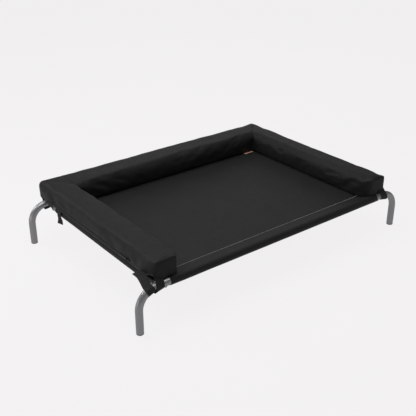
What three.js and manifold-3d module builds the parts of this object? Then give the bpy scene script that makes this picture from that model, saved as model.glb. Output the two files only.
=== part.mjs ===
// Raised dog bed: tubular steel frame, stretched mat and a removable three-sided bolster.
// Millimetres, +Z up, +X along the bed, +Y towards the back bolster. The origin is on the floor,
// under the middle of the bed's overall box.

import * as THREE from 'three';
import { mergeVertices } from 'three/addons/utils/BufferGeometryUtils.js';
import Module from 'manifold-3d';

const wasm = await Module();
wasm.setup();

// ---------------------------------------------------------------- driving dimensions

const FOOT_X = 590; // half the foot spacing along the bed
const FOOT_Y = 364; // half the foot spacing across the bed
const CENTRE_Y = -13.28; // shift that puts the overall box's middle on the origin
const RAIL_Z = 147; // height of every rail's axis
const BEND_R = 65; // centre-line radius of a leg's bend

const TUBE_R = 12.5; // 25 mm tube
const TUBE_WALL = 1.2;
const TUBE_BORE_R = TUBE_R - TUBE_WALL;
const FIT = 0.3; // play between pieces that touch
const TUBE_SIDES = 16;
const BEND_STEPS = 6;

const SPIGOT_R = TUBE_BORE_R - FIT;
const SPIGOT_LENGTH = 60;
const SIDE_RAIL_X = 515; // axis of a side rail
const SIDE_RAIL_END_Y = 310;
const STUB_R = 8.9;
const STUB_BORE_R = 7.5;
const STUB_END_Y = 272;
const COLLAR_END_Y = 280;
const COLLAR_FLANGE = 3.2;
const COLLAR_FLANGE_R = 14.2;
const NOSE_R = 10.6; // the collar's nose over the stub
const NOSE_GAP = 1.5; // from the nose to the long rail

const SCREW_R = 3;
const SCREW_HEAD_R = 5.5;
const SCREW_HEAD = 3;
const SCREW_REACH = 6.5; // shank above the tube's underside
const SCREW_SIDES = 10;
const LEG_SCREW_X = 492;
const SIDE_SCREW_Y = 296;

const PLUG_HEAD = 4.5;
const PLUG_STEM = 18;
const PLUG_FACE_R = 9;

const FABRIC = 1.2; // thickness of mat and cover cloth
const SEAM_INSET = 56; // from a rail's axis to its sleeve's stitch line
const SLEEVE_R = TUBE_R + 0.4; // inside of a sleeve where it wraps the tube
const LONG_SLEEVE_END = 478;
const SIDE_SLEEVE_END = 285;
const MAT_CORNER_R = 22;
const SEAM_LAP = 6; // depth of the sewn plies at a sleeve's edge

const BOLSTER_OUT_X = 532;
const BOLSTER_IN_X = 427;
const BOLSTER_BACK_Y = 407;
const BOLSTER_IN_Y = 279;
const BOLSTER_FRONT_Y = -362;
const BOLSTER_BOTTOM = 149;
const BOLSTER_TOP = 227;
const BOLSTER_ROUND = 22; // rounding of the long edges
const BOLSTER_CORNER_R = 6; // plan corner of the flat top, before the rounding is added
const RELIEF_RUN = 46; // the underside climbs over a rail in this run
const RELIEF_TOP = 162;
const FOAM_GAP = 3.2; // from the cover's outside to the foam
const FOAM_JOINT = 1;

const ZIP_Z = 175.5;
const ZIP_FRONT_Y = -225;
const ZIP_BACK_Y = 300;
const ZIP_SLOT = 8;
const CHAIN_WIDTH = 5;
const CHAIN_THICK = 2;
const CHAIN_DEPTH = 0.4; // how far the chain sits behind the cover's outside
const TAPE_WIDTH = 4;
const TAPE_DEPTH = 0.8; // from the cover's inside to the tape
const TAPE_THICK = 0.6;
const STOP_LENGTH = 4;
const STOP_PROUD = 0.8; // how far a stop stands out of the cover
const SLIDER_LENGTH = 11;
const SLIDER_REST_Y = -214;
const SLIDER_PLATE = 1.6;
const SLIDER_FACE = 0.5; // gap from the cover to the slider's plate
const WING_REACH = 0.9; // how far its wings reach into the slot
const EAR_HALF = 1.6;
const PIN_R = 0.6;
const PIN_SIDES = 8;
const KNUCKLE_R = 1.4;
const KNUCKLE_BORE_R = 0.85;
const PULL_LENGTH = 42;
const PULL_WIDTH = 5;
const PULL_THICK = 1.4;
const PULL_HOLE_R = 1.1;
const PIN_OFFSET = 1.5; // from the slider's middle to its pin

const STRAP_WIDTH = 28;
const STRAP_THICK = 1.4;
const STRAP_CLEAR = 0.35;

const TAG_WIDTH = 45;
const TAG_DEPTH = 12;
const TAG_THICK = 1;
const TAG_X = 398;

// ---------------------------------------------------------------- materials

function material(color, roughness, metalness) {
  return new THREE.MeshStandardMaterial({ color, roughness, metalness });
}

const greySteel = material('#8d8d90', 0.42, 0.7);
const greyPlastic = material('#85858a', 0.55, 0);
const blackPlastic = material('#1b1b1d', 0.5, 0);
const darkZinc = material('#55565a', 0.4, 0.9);
const matCloth = material('#26262a', 0.85, 0);
const coverCloth = material('#1f1f23', 0.8, 0);
const webbing = material('#2c2c30', 0.8, 0);
const foam = material('#d9d4c4', 0.95, 0);
const zipPlastic = material('#141416', 0.4, 0);
const tagOrange = material('#d9782e', 0.7, 0);

// ---------------------------------------------------------------- solids

function toManifold(geometry) {
  let bare = geometry.index ? geometry.toNonIndexed() : geometry.clone();
  bare.deleteAttribute('normal');
  bare.deleteAttribute('uv');
  bare = mergeVertices(bare, 1e-4);
  return new wasm.Manifold(
    new wasm.Mesh({
      numProp: 3,
      vertProperties: new Float32Array(bare.attributes.position.array),
      triVerts: new Uint32Array(bare.index.array),
    }),
  );
}

function toGeometry(solid) {
  const mesh = solid.getMesh();
  const geometry = new THREE.BufferGeometry();
  geometry.setAttribute('position', new THREE.BufferAttribute(mesh.vertProperties, 3));
  geometry.setIndex(new THREE.BufferAttribute(mesh.triVerts, 1));
  geometry.computeVertexNormals();
  return geometry;
}

function join(first, ...others) {
  return others.reduce((sum, geometry) => sum.add(toManifold(geometry)), toManifold(first));
}

function cut(geometry, ...cutters) {
  let solid = toManifold(geometry);
  for (const cutter of cutters) solid = solid.subtract(toManifold(cutter));
  return toGeometry(solid);
}

// Flips the triangles of a geometry mirrored by a negative scale, so that they still face out.
function mirrored(geometry, signX, signY) {
  const copy = geometry.index ? geometry.toNonIndexed() : geometry.clone();
  copy.scale(signX, signY, 1);
  if (signX * signY < 0) {
    const position = copy.attributes.position;
    for (let i = 0; i < position.count; i += 3) {
      const second = new THREE.Vector3().fromBufferAttribute(position, i + 1);
      const third = new THREE.Vector3().fromBufferAttribute(position, i + 2);
      position.setXYZ(i + 1, third.x, third.y, third.z);
      position.setXYZ(i + 2, second.x, second.y, second.z);
    }
  }
  copy.deleteAttribute('normal');
  copy.deleteAttribute('uv');
  const welded = mergeVertices(copy, 1e-4);
  welded.computeVertexNormals();
  return welded;
}

// A cylinder between two heights along one axis ('x', 'y' or 'z').
function rod(radius, from, to, axis, sides = TUBE_SIDES) {
  const geometry = new THREE.CylinderGeometry(radius, radius, to - from, sides);
  geometry.translate(0, (from + to) / 2, 0);
  if (axis === 'x') geometry.rotateZ(-Math.PI / 2);
  if (axis === 'z') geometry.rotateX(Math.PI / 2);
  return geometry;
}

function box(x0, x1, y0, y1, z0, z1) {
  const geometry = new THREE.BoxGeometry(x1 - x0, y1 - y0, z1 - z0);
  geometry.translate((x0 + x1) / 2, (y0 + y1) / 2, (z0 + z1) / 2);
  return geometry;
}

// Extrudes a profile drawn in (across, up) along X, between two X values.
function extrudeAlongX(shape, from, to, curveSegments = 8) {
  const options = { depth: to - from, bevelEnabled: false, curveSegments };
  const geometry = new THREE.ExtrudeGeometry(shape, options);
  geometry.rotateY(Math.PI / 2);
  geometry.rotateX(Math.PI / 2);
  geometry.translate(from, 0, 0);
  return geometry;
}

// The same profile, drawn in (x, up), extruded along Y.
function extrudeAlongY(shape, from, to, curveSegments = 8) {
  const options = { depth: to - from, bevelEnabled: false, curveSegments };
  const geometry = new THREE.ExtrudeGeometry(shape, options);
  geometry.rotateX(Math.PI / 2);
  geometry.translate(0, to, 0);
  return geometry;
}

// ---------------------------------------------------------------- frame

const bendStart = FOOT_X - BEND_R;
const legTop = RAIL_Z - BEND_R;

// Centre line of one leg: up from the floor, round the bend, level towards the rail.
class LegLine extends THREE.Curve {
  constructor(floor, levelEnd) {
    super();
    this.floor = floor;
    this.rise = legTop - floor;
    this.arc = (Math.PI / 2) * BEND_R;
    this.level = bendStart - levelEnd;
  }

  getPoint(t, target = new THREE.Vector3()) {
    const s = t * (this.rise + this.arc + this.level);
    if (s < this.rise) return target.set(FOOT_X, 0, this.floor + s);
    if (s < this.rise + this.arc) {
      const angle = (s - this.rise) / BEND_R;
      return target.set(bendStart + BEND_R * Math.cos(angle), 0, legTop + BEND_R * Math.sin(angle));
    }
    return target.set(bendStart - (s - this.rise - this.arc), 0, RAIL_Z);
  }
}

function sweptRod(radius, curve, steps) {
  const section = new THREE.Shape();
  for (let i = 0; i < TUBE_SIDES; i++) {
    const angle = (i * 2 * Math.PI) / TUBE_SIDES;
    const x = radius * Math.cos(angle);
    const y = radius * Math.sin(angle);
    if (i === 0) section.moveTo(x, y);
    else section.lineTo(x, y);
  }
  return new THREE.ExtrudeGeometry(section, { steps, bevelEnabled: false, extrudePath: curve });
}

function legGeometry() {
  const wallLap = 4;
  const spigotEnd = bendStart - SPIGOT_LENGTH;
  const steps = BEND_STEPS * 2;
  const outside = join(
    sweptRod(TUBE_R, new LegLine(PLUG_HEAD + FIT, bendStart), steps),
    rod(SPIGOT_R, spigotEnd, bendStart + wallLap, 'x').translate(0, 0, RAIL_Z),
  );
  const bore = join(
    sweptRod(TUBE_BORE_R, new LegLine(-1, bendStart + wallLap), steps),
    rod(SPIGOT_R - TUBE_WALL, spigotEnd - 1, bendStart + wallLap + 1, 'x').translate(0, 0, RAIL_Z),
  );
  const screwHole = rod(SCREW_R + FIT, 0, RAIL_Z, 'z', SCREW_SIDES).translate(LEG_SCREW_X, 0, 0);
  return toGeometry(outside.subtract(bore).subtract(toManifold(screwHole)));
}

function footPlugGeometry() {
  const round = TUBE_R - PLUG_FACE_R;
  const profile = [new THREE.Vector2(0, 0), new THREE.Vector2(PLUG_FACE_R, 0)];
  for (let i = 1; i <= 2; i++) {
    const angle = (i * Math.PI) / 4;
    profile.push(new THREE.Vector2(PLUG_FACE_R + round * Math.sin(angle), round * (1 - Math.cos(angle))));
  }
  profile.push(new THREE.Vector2(TUBE_R, PLUG_HEAD));
  profile.push(new THREE.Vector2(TUBE_BORE_R - FIT, PLUG_HEAD));
  profile.push(new THREE.Vector2(TUBE_BORE_R - FIT, PLUG_HEAD + PLUG_STEM));
  profile.push(new THREE.Vector2(0, PLUG_HEAD + PLUG_STEM));
  const geometry = new THREE.LatheGeometry(profile, TUBE_SIDES);
  return geometry.rotateX(Math.PI / 2);
}

// A long rail on its own axis, with the two stubs pointing to +Y.
function longRailGeometry() {
  const end = bendStart - FIT;
  const stubRoot = FOOT_Y - STUB_END_Y;
  const weldLap = 1.5;
  let rail = join(rod(TUBE_R, -end, end, 'x'));
  for (const side of [-1, 1]) {
    const stub = rod(STUB_R, TUBE_R - weldLap, stubRoot, 'y').translate(side * SIDE_RAIL_X, 0, 0);
    rail = rail.add(toManifold(stub));
  }
  rail = rail.subtract(toManifold(rod(TUBE_BORE_R, -end - 1, end + 1, 'x')));
  for (const side of [-1, 1]) {
    const stubX = side * SIDE_RAIL_X;
    const bore = rod(STUB_BORE_R, TUBE_R + 1, stubRoot + 1, 'y').translate(stubX, 0, 0);
    const sideHole = rod(SCREW_R + FIT, -TUBE_R - 1, 0, 'z', SCREW_SIDES);
    const legHole = sideHole.clone().translate(side * LEG_SCREW_X, 0, 0);
    sideHole.translate(stubX, FOOT_Y - SIDE_SCREW_Y, 0);
    rail = rail.subtract(toManifold(bore)).subtract(toManifold(sideHole)).subtract(toManifold(legHole));
  }
  return toGeometry(rail);
}

function sideRailGeometry() {
  const holes = [-1, 1].map((side) =>
    rod(SCREW_R + FIT, -TUBE_R - 1, 0, 'z', SCREW_SIDES).translate(0, side * SIDE_SCREW_Y, 0),
  );
  const bore = rod(TUBE_BORE_R, -SIDE_RAIL_END_Y - 1, SIDE_RAIL_END_Y + 1, 'y');
  return cut(rod(TUBE_R, -SIDE_RAIL_END_Y, SIDE_RAIL_END_Y, 'y'), bore, ...holes);
}

// The bush in a side rail's +Y end; its flange shows as a ring, its nose covers the stub.
function collarGeometry() {
  const flangeFrom = SIDE_RAIL_END_Y + FIT;
  const noseEnd = FOOT_Y - TUBE_R - NOSE_GAP;
  const body = join(
    rod(TUBE_BORE_R - FIT, COLLAR_END_Y, flangeFrom + 1, 'y'),
    rod(COLLAR_FLANGE_R, flangeFrom, flangeFrom + COLLAR_FLANGE, 'y'),
    rod(NOSE_R, flangeFrom + 1, noseEnd, 'y'),
  );
  const bore = toManifold(rod(STUB_R + FIT, COLLAR_END_Y - 1, noseEnd + 1, 'y'));
  const hole = rod(SCREW_R + FIT, -TUBE_R - 1, 0, 'z', SCREW_SIDES).translate(0, SIDE_SCREW_Y, 0);
  return toGeometry(body.subtract(bore).subtract(toManifold(hole)));
}

// Domed screw, head down, its origin at the tube's underside.
function screwGeometry() {
  const profile = [
    new THREE.Vector2(0, -SCREW_HEAD - FIT),
    new THREE.Vector2(SCREW_HEAD_R * 0.6, -SCREW_HEAD - FIT),
    new THREE.Vector2(SCREW_HEAD_R, -SCREW_HEAD * 0.45 - FIT),
    new THREE.Vector2(SCREW_HEAD_R, -FIT),
    new THREE.Vector2(SCREW_R, -FIT),
    new THREE.Vector2(SCREW_R, SCREW_REACH),
    new THREE.Vector2(0, SCREW_REACH),
  ];
  return new THREE.LatheGeometry(profile, SCREW_SIDES).rotateX(Math.PI / 2);
}

// ---------------------------------------------------------------- mat

// Teardrop outline round a rail at the origin: round over the tube, straight to the stitch line at +seam.
function teardrop(path, radius, seam, backwards) {
  const tangent = Math.acos(radius / seam);
  const arcSteps = 16;
  const points = [];
  for (let i = 0; i <= arcSteps; i++) {
    const angle = tangent + ((2 * Math.PI - 2 * tangent) * i) / arcSteps;
    points.push(new THREE.Vector2(radius * Math.cos(angle), radius * Math.sin(angle)));
  }
  points.push(new THREE.Vector2(seam, 0));
  if (backwards) points.reverse();
  path.setFromPoints(points);
  path.closePath();
  return path;
}

function sleeveShape() {
  const shape = teardrop(new THREE.Shape(), SLEEVE_R + FABRIC, SEAM_INSET - FIT, false);
  shape.holes.push(teardrop(new THREE.Path(), SLEEVE_R, SEAM_INSET - SEAM_LAP, true));
  return shape;
}

// The panel between the four stitch lines, with its corners cut round.
function matPanelGeometry() {
  const halfX = SIDE_RAIL_X - SEAM_INSET;
  const halfY = FOOT_Y - SEAM_INSET;
  const r = MAT_CORNER_R;
  const shape = new THREE.Shape();
  shape.moveTo(-halfX + r, -halfY);
  shape.lineTo(halfX - r, -halfY);
  shape.absarc(halfX, -halfY, r, Math.PI, Math.PI / 2, true);
  shape.lineTo(halfX, halfY - r);
  shape.absarc(halfX, halfY, r, -Math.PI / 2, -Math.PI, true);
  shape.lineTo(-halfX + r, halfY);
  shape.absarc(-halfX, halfY, r, 0, -Math.PI / 2, true);
  shape.lineTo(-halfX, -halfY + r);
  shape.absarc(-halfX, -halfY, r, Math.PI / 2, 0, true);
  const options = { depth: FABRIC, bevelEnabled: false, curveSegments: 4 };
  const geometry = new THREE.ExtrudeGeometry(shape, options);
  return geometry.translate(0, 0, RAIL_Z - FABRIC / 2);
}

// ---------------------------------------------------------------- bolster

// Plan outline of the bolster's flat top: the full U drawn in by the rounding.
function bolsterPlan() {
  const d = BOLSTER_ROUND;
  const outX = BOLSTER_OUT_X - d;
  const inX = BOLSTER_IN_X + d;
  const back = BOLSTER_BACK_Y - d;
  const inBack = BOLSTER_IN_Y + d;
  const front = BOLSTER_FRONT_Y + d;
  const r = BOLSTER_CORNER_R;
  const hollow = BOLSTER_CORNER_R + d;
  const shape = new THREE.Shape();
  shape.moveTo(-outX + r, front);
  shape.lineTo(-inX - r, front);
  shape.absarc(-inX - r, front + r, r, -Math.PI / 2, 0, false);
  shape.lineTo(-inX, inBack - hollow);
  shape.absarc(-inX + hollow, inBack - hollow, hollow, Math.PI, Math.PI / 2, true);
  shape.lineTo(inX - hollow, inBack);
  shape.absarc(inX - hollow, inBack - hollow, hollow, Math.PI / 2, 0, true);
  shape.lineTo(inX, front + r);
  shape.absarc(inX + r, front + r, r, Math.PI, (3 * Math.PI) / 2, false);
  shape.lineTo(outX - r, front);
  shape.absarc(outX - r, front + r, r, -Math.PI / 2, 0, false);
  shape.lineTo(outX, back - r);
  shape.absarc(outX - r, back - r, r, 0, Math.PI / 2, false);
  shape.lineTo(-outX + r, back);
  shape.absarc(-outX + r, back - r, r, Math.PI / 2, Math.PI, false);
  shape.lineTo(-outX, front + r);
  shape.absarc(-outX + r, front + r, r, Math.PI, (3 * Math.PI) / 2, false);
  return shape;
}

// The U solid, drawn in by inset on every side, with its underside cut clear of the four rails.
function bolsterSolid(inset) {
  const round = BOLSTER_ROUND - inset;
  const geometry = new THREE.ExtrudeGeometry(bolsterPlan(), {
    depth: BOLSTER_TOP - BOLSTER_BOTTOM - 2 * BOLSTER_ROUND,
    bevelEnabled: true,
    bevelThickness: round,
    bevelSize: round,
    bevelSegments: 3,
    curveSegments: 3,
  });
  geometry.translate(0, 0, BOLSTER_BOTTOM + BOLSTER_ROUND);
  let solid = toManifold(geometry);
  for (const side of [-1, 1]) {
    solid = solid.subtract(railRelief(SIDE_RAIL_X, inset, (side * Math.PI) / 2 + Math.PI));
    solid = solid.subtract(railRelief(FOOT_Y, inset, side === 1 ? Math.PI : 0));
  }
  return solid;
}

// Space that a rail and its sleeve need under the bolster: a ramp from the stitch line up over the rail.
function railRelief(railDistance, inset, turn) {
  const seam = railDistance - SEAM_INSET - inset;
  const far = railDistance + 60;
  const top = RELIEF_TOP + inset;
  const bottom = BOLSTER_BOTTOM + inset;
  const drop = 40;
  const ramp = new THREE.Shape();
  ramp.moveTo(seam - 20, bottom - 1 - drop);
  ramp.lineTo(far, bottom - drop);
  ramp.lineTo(far, top);
  ramp.lineTo(seam + RELIEF_RUN, top);
  ramp.lineTo(seam, bottom);
  ramp.lineTo(seam - 20, bottom - 1);
  const length = 2 * (FOOT_X + 60);
  const geometry = extrudeAlongY(ramp, -length / 2, length / 2);
  geometry.rotateZ(-Math.PI / 2 + turn);
  return toManifold(geometry);
}

function bolsterCoverGeometry() {
  const slot = box(
    -BOLSTER_OUT_X - 5,
    -BOLSTER_OUT_X + FABRIC + 1,
    ZIP_FRONT_Y,
    ZIP_BACK_Y,
    ZIP_Z - ZIP_SLOT / 2,
    ZIP_Z + ZIP_SLOT / 2,
  );
  return toGeometry(bolsterSolid(0).subtract(bolsterSolid(FABRIC)).subtract(toManifold(slot)));
}

// One foam block: the part of the foam U between two X values and two Y values.
function foamGeometry(x0, x1, y0, y1) {
  const region = toManifold(box(x0, x1, y0, y1, 0, BOLSTER_TOP + 10));
  return toGeometry(bolsterSolid(FOAM_GAP).intersect(region));
}

// ---------------------------------------------------------------- zip

const zipX = -BOLSTER_OUT_X;

function zipTapeGeometry(side) {
  const x0 = zipX + FABRIC + TAPE_DEPTH;
  const near = ZIP_Z + side * (CHAIN_WIDTH / 2 + FIT);
  const far = near + side * TAPE_WIDTH;
  return box(x0, x0 + TAPE_THICK, ZIP_FRONT_Y, ZIP_BACK_Y, Math.min(near, far), Math.max(near, far));
}

function zipChainGeometry() {
  const x0 = zipX + CHAIN_DEPTH;
  const from = ZIP_FRONT_Y + STOP_LENGTH + 2 * FIT;
  const to = ZIP_BACK_Y - STOP_LENGTH - 2 * FIT;
  return box(x0, x0 + CHAIN_THICK, from, to, ZIP_Z - CHAIN_WIDTH / 2, ZIP_Z + CHAIN_WIDTH / 2);
}

function zipStopGeometry(y0) {
  const half = ZIP_SLOT / 2 - FIT;
  const x0 = zipX - STOP_PROUD;
  return box(x0, x0 + CHAIN_THICK, y0, y0 + STOP_LENGTH, ZIP_Z - half, ZIP_Z + half);
}

// The slider is a channel over the chain, with two ears that hold the pull tab's pin.
function zipSliderGeometry() {
  const inner = CHAIN_WIDTH / 2 + FIT;
  const outer = ZIP_SLOT / 2 - FIT;
  const face = zipX - SLIDER_FACE;
  const y0 = SLIDER_REST_Y - SLIDER_LENGTH / 2;
  const y1 = SLIDER_REST_Y + SLIDER_LENGTH / 2;
  const plate = box(face - SLIDER_PLATE, face, y0, y1, ZIP_Z - outer, ZIP_Z + outer);
  const wings = [-1, 1].map((side) => {
    const near = ZIP_Z + side * inner;
    const far = ZIP_Z + side * outer;
    const z = [Math.min(near, far), Math.max(near, far)];
    return box(face - SLIDER_PLATE / 2, zipX + WING_REACH, y0, y1, ...z);
  });
  const ears = [-1, 1].map((side) => {
    const near = ZIP_Z + side * (PULL_WIDTH / 2 + FIT);
    const far = ZIP_Z + side * outer;
    const earFrom = pullPinX - EAR_HALF;
    const y = [pullPinY - EAR_HALF, pullPinY + EAR_HALF];
    return box(earFrom, face - SLIDER_PLATE / 2, ...y, Math.min(near, far), Math.max(near, far));
  });
  const pinEnd = outer - FIT;
  const pin = rod(PIN_R, ZIP_Z - pinEnd, ZIP_Z + pinEnd, 'z', PIN_SIDES).translate(pullPinX, pullPinY, 0);
  return toGeometry(join(plate, ...wings, ...ears, pin));
}

const pullPinX = zipX - SLIDER_FACE - SLIDER_PLATE - KNUCKLE_R - FIT;
const pullPinY = SLIDER_REST_Y + PIN_OFFSET;

// Flat tab that lies along the zip towards the back, with a knuckle round the slider's pin.
function zipPullGeometry() {
  const half = PULL_WIDTH / 2;
  const shape = new THREE.Shape();
  shape.moveTo(0, -half);
  shape.lineTo(PULL_LENGTH - half, -half);
  shape.absarc(PULL_LENGTH - half, 0, half, -Math.PI / 2, Math.PI / 2, false);
  shape.lineTo(0, half);
  const hole = new THREE.Path();
  hole.absarc(PULL_LENGTH - half - PULL_HOLE_R, 0, PULL_HOLE_R, 0, 2 * Math.PI, true);
  shape.holes.push(hole);
  const options = { depth: PULL_THICK, bevelEnabled: false, curveSegments: 5 };
  const tab = new THREE.ExtrudeGeometry(shape, options);
  tab.translate(0, 0, -PULL_THICK / 2);
  tab.rotateX(Math.PI / 2);
  tab.rotateZ(Math.PI / 2);
  const body = join(tab, rod(KNUCKLE_R, -half, half, 'z', SCREW_SIDES));
  const bore = rod(KNUCKLE_BORE_R, -half - 1, half + 1, 'z', SCREW_SIDES);
  return toGeometry(body.subtract(toManifold(bore)));
}

// ---------------------------------------------------------------- straps and tag

// A flat strap through stations, each a centre point and the direction of the strap's width.
function ribbon(stations, width, thickness) {
  const vectors = (key) => stations.map((station) => new THREE.Vector3(...station[key]));
  const centres = new THREE.CatmullRomCurve3(vectors('at'));
  const widths = new THREE.CatmullRomCurve3(vectors('across'));
  const steps = (stations.length - 1) * 3;
  const positions = [];
  const indices = [];
  for (let i = 0; i <= steps; i++) {
    const t = i / steps;
    const centre = centres.getPoint(t);
    const tangent = centres.getTangent(t);
    const across = widths.getPoint(t);
    across.addScaledVector(tangent, -across.dot(tangent)).normalize();
    const up = new THREE.Vector3().crossVectors(tangent, across);
    for (const [a, b] of [[-1, -1], [1, -1], [1, 1], [-1, 1]]) {
      const corner = centre.clone();
      corner.addScaledVector(across, (a * width) / 2);
      corner.addScaledVector(up, (b * thickness) / 2);
      positions.push(corner.x, corner.y, corner.z);
    }
  }
  for (let i = 0; i < steps; i++) {
    for (let side = 0; side < 4; side++) {
      const a = 4 * i + side;
      const b = 4 * i + ((side + 1) % 4);
      indices.push(a, b, a + 4, b, b + 4, a + 4);
    }
  }
  const last = 4 * steps;
  indices.push(0, 2, 1, 0, 3, 2, last, last + 1, last + 2, last, last + 2, last + 3);
  const geometry = new THREE.BufferGeometry();
  geometry.setAttribute('position', new THREE.Float32BufferAttribute(positions, 3));
  geometry.setIndex(indices);
  return geometry;
}

// Stations are written for the corner with positive X and positive Y.
const capFace = -BOLSTER_FRONT_Y + FIT + STRAP_THICK / 2;
const outerFace = BOLSTER_OUT_X + 2 * FIT + STRAP_THICK / 2;
const wrapR = TUBE_R + 1.1;
const strapTop = RELIEF_TOP - FIT - STRAP_THICK / 2;
const strapRoot = SIDE_RAIL_X + 9;

// It lies on the cover's outer face, crosses over the leg's bend and closes under it.
const overBend = [0.923, 0, -0.385];
const sideStrap = [
  { at: [outerFace, 262, 161], across: [0, 0, -1] },
  { at: [outerFace + 0.6, 280, 161.5], across: [0.03, 0, -1] },
  { at: [outerFace + 5.8, 305, 161], across: [0.4, 0, -0.92] },
  { at: [outerFace + 12.5, 330, 159.5], across: [0.7, 0, -0.7] },
  { at: [outerFace + 18.5, 350, 157.2], across: [0.87, 0, -0.5] },
  { at: [555.3, FOOT_Y - 2, 155.2], across: overBend },
  { at: [554.1, FOOT_Y + 9.8, 151.6], across: overBend },
  { at: [550.2, FOOT_Y + 14.2, 142], across: overBend },
  { at: [546.4, FOOT_Y + 9.9, 132.7], across: overBend },
  { at: [544.8, FOOT_Y, 128.8], across: overBend },
];

const looseSideStrap = [
  { at: [strapRoot, 250, strapTop], across: [0, -1, 0] },
  { at: [strapRoot + 5.5, 250, 159.5], across: [0, -1, 0] },
  { at: [strapRoot + 8, 249, 154], across: [0, -1, 0] },
  { at: [strapRoot + 8.4, 248, 140], across: [0, -1, 0] },
  { at: [strapRoot + 6.4, 247, 125], across: [-0.1, -1, 0] },
  { at: [strapRoot + 8.6, 246, 110], across: [-0.25, -1, 0] },
];

// This one closes round the side rail's sleeve instead.
const railStrap = [
  { at: [strapRoot - 6, 262, strapTop - 0.4], across: [0, -1, 0] },
  { at: [strapRoot + 2, 262, 159.3], across: [0, -1, 0] },
  { at: [strapRoot + 6, 262, 153.5], across: [0, -1, 0] },
  { at: [strapRoot + 6.6, 262, 145], across: [0, -1, 0] },
  { at: [strapRoot + 3.2, 262, 136], across: [0, -1, 0] },
  { at: [strapRoot - 5, 262, 131.3], across: [0, -1, 0] },
  { at: [strapRoot - 14, 262, 131.6], across: [0, -1, 0] },
];

const endStrapWrap = [
  { at: [519.5, FOOT_Y + wrapR, 152], across: [1, 0.1, -0.05] },
  { at: [521, FOOT_Y + wrapR - 0.6, 141], across: [1, 0.1, -0.1] },
  { at: [522, FOOT_Y + 7.5, 132.4], across: [1, 0.1, -0.15] },
  { at: [522.4, FOOT_Y - 2, 130.6], across: [1, 0.1, -0.15] },
  { at: [522.4, FOOT_Y - 10, 130.6], across: [1, 0.1, -0.15] },
];

const frontEndStrap = [
  { at: [515, capFace, 197], across: [1, 0, 0] },
  { at: [516, capFace + 0.2, 184], across: [1, 0, 0] },
  { at: [520, capFace + 6.5, 167], across: [1, 0.05, 0] },
  ...endStrapWrap,
];

const backEndStrap = [
  { at: [519, 398, 161], across: [1, 0, 0] },
  { at: [519, 387, 159], across: [1, 0, 0] },
  ...endStrapWrap,
];

// Webbing that is cut back where it would bite into the tubes it wraps.
function strapGeometry(stations, signX, signY) {
  const lap = 80;
  const legClear = sweptRod(TUBE_R + STRAP_CLEAR, new LegLine(0, bendStart - lap), 2 * BEND_STEPS);
  legClear.translate(0, FOOT_Y, 0);
  const sideClear = rod(COLLAR_FLANGE_R + STRAP_CLEAR, 0, SIDE_RAIL_END_Y + 5, 'y');
  sideClear.translate(SIDE_RAIL_X, 0, RAIL_Z);
  const strap = cut(ribbon(stations, STRAP_WIDTH, STRAP_THICK), legClear, sideClear);
  return mirrored(strap, signX, signY);
}

// ---------------------------------------------------------------- assembly

const bed = new THREE.Group();
bed.position.set(0, CENTRE_Y, 0);

function add(name, geometry, finish, position = [0, 0, 0], turn = 0) {
  const mesh = new THREE.Mesh(geometry, finish);
  mesh.name = name;
  mesh.position.set(...position);
  mesh.rotation.z = turn;
  bed.add(mesh);
}

const ends = { front: -1, back: 1 };
const sides = { left: -1, right: 1 };
const halfTurn = Math.PI;

for (const [end, signY] of Object.entries(ends)) {
  add(`${end}_rail`, longRailGeometry(), greySteel, [0, signY * FOOT_Y, RAIL_Z], signY > 0 ? halfTurn : 0);
}

for (const [side, signX] of Object.entries(sides)) {
  add(`${side}_side_rail`, sideRailGeometry(), greySteel, [signX * SIDE_RAIL_X, 0, RAIL_Z]);
}

for (const [end, signY] of Object.entries(ends)) {
  for (const [side, signX] of Object.entries(sides)) {
    const corner = `${end}_${side}`;
    const footY = signY * FOOT_Y;
    const sideX = signX * SIDE_RAIL_X;
    const screwZ = RAIL_Z - TUBE_R;
    const legTurn = signX < 0 ? halfTurn : 0;
    const collarTurn = signY < 0 ? halfTurn : 0;
    add(`leg_${corner}`, legGeometry(), greySteel, [0, footY, 0], legTurn);
    add(`foot_plug_${corner}`, footPlugGeometry(), greyPlastic, [signX * FOOT_X, footY, 0]);
    add(`side_collar_${corner}`, collarGeometry(), blackPlastic, [sideX, 0, RAIL_Z], collarTurn);
    add(`leg_screw_${corner}`, screwGeometry(), darkZinc, [signX * LEG_SCREW_X, footY, screwZ]);
    add(`side_screw_${corner}`, screwGeometry(), darkZinc, [sideX, signY * SIDE_SCREW_Y, screwZ]);

    const sideStations = { back_left: looseSideStrap, front_right: railStrap }[corner] ?? sideStrap;
    const endStations = end === 'front' ? frontEndStrap : backEndStrap;
    add(`side_strap_${corner}`, strapGeometry(sideStations, signX, signY), webbing);
    add(`end_strap_${corner}`, strapGeometry(endStations, signX, signY), webbing);
  }
}

add('mat_panel', matPanelGeometry(), matCloth);
const longSleeve = () => extrudeAlongX(sleeveShape(), -LONG_SLEEVE_END, LONG_SLEEVE_END);
const sideSleeve = () => extrudeAlongY(sleeveShape(), -SIDE_SLEEVE_END, SIDE_SLEEVE_END);
add('front_sleeve', longSleeve(), matCloth, [0, -FOOT_Y, RAIL_Z]);
add('back_sleeve', longSleeve(), matCloth, [0, FOOT_Y, RAIL_Z], halfTurn);
add('left_sleeve', sideSleeve(), matCloth, [-SIDE_RAIL_X, 0, RAIL_Z]);
add('right_sleeve', sideSleeve(), matCloth, [SIDE_RAIL_X, 0, RAIL_Z], halfTurn);

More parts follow.
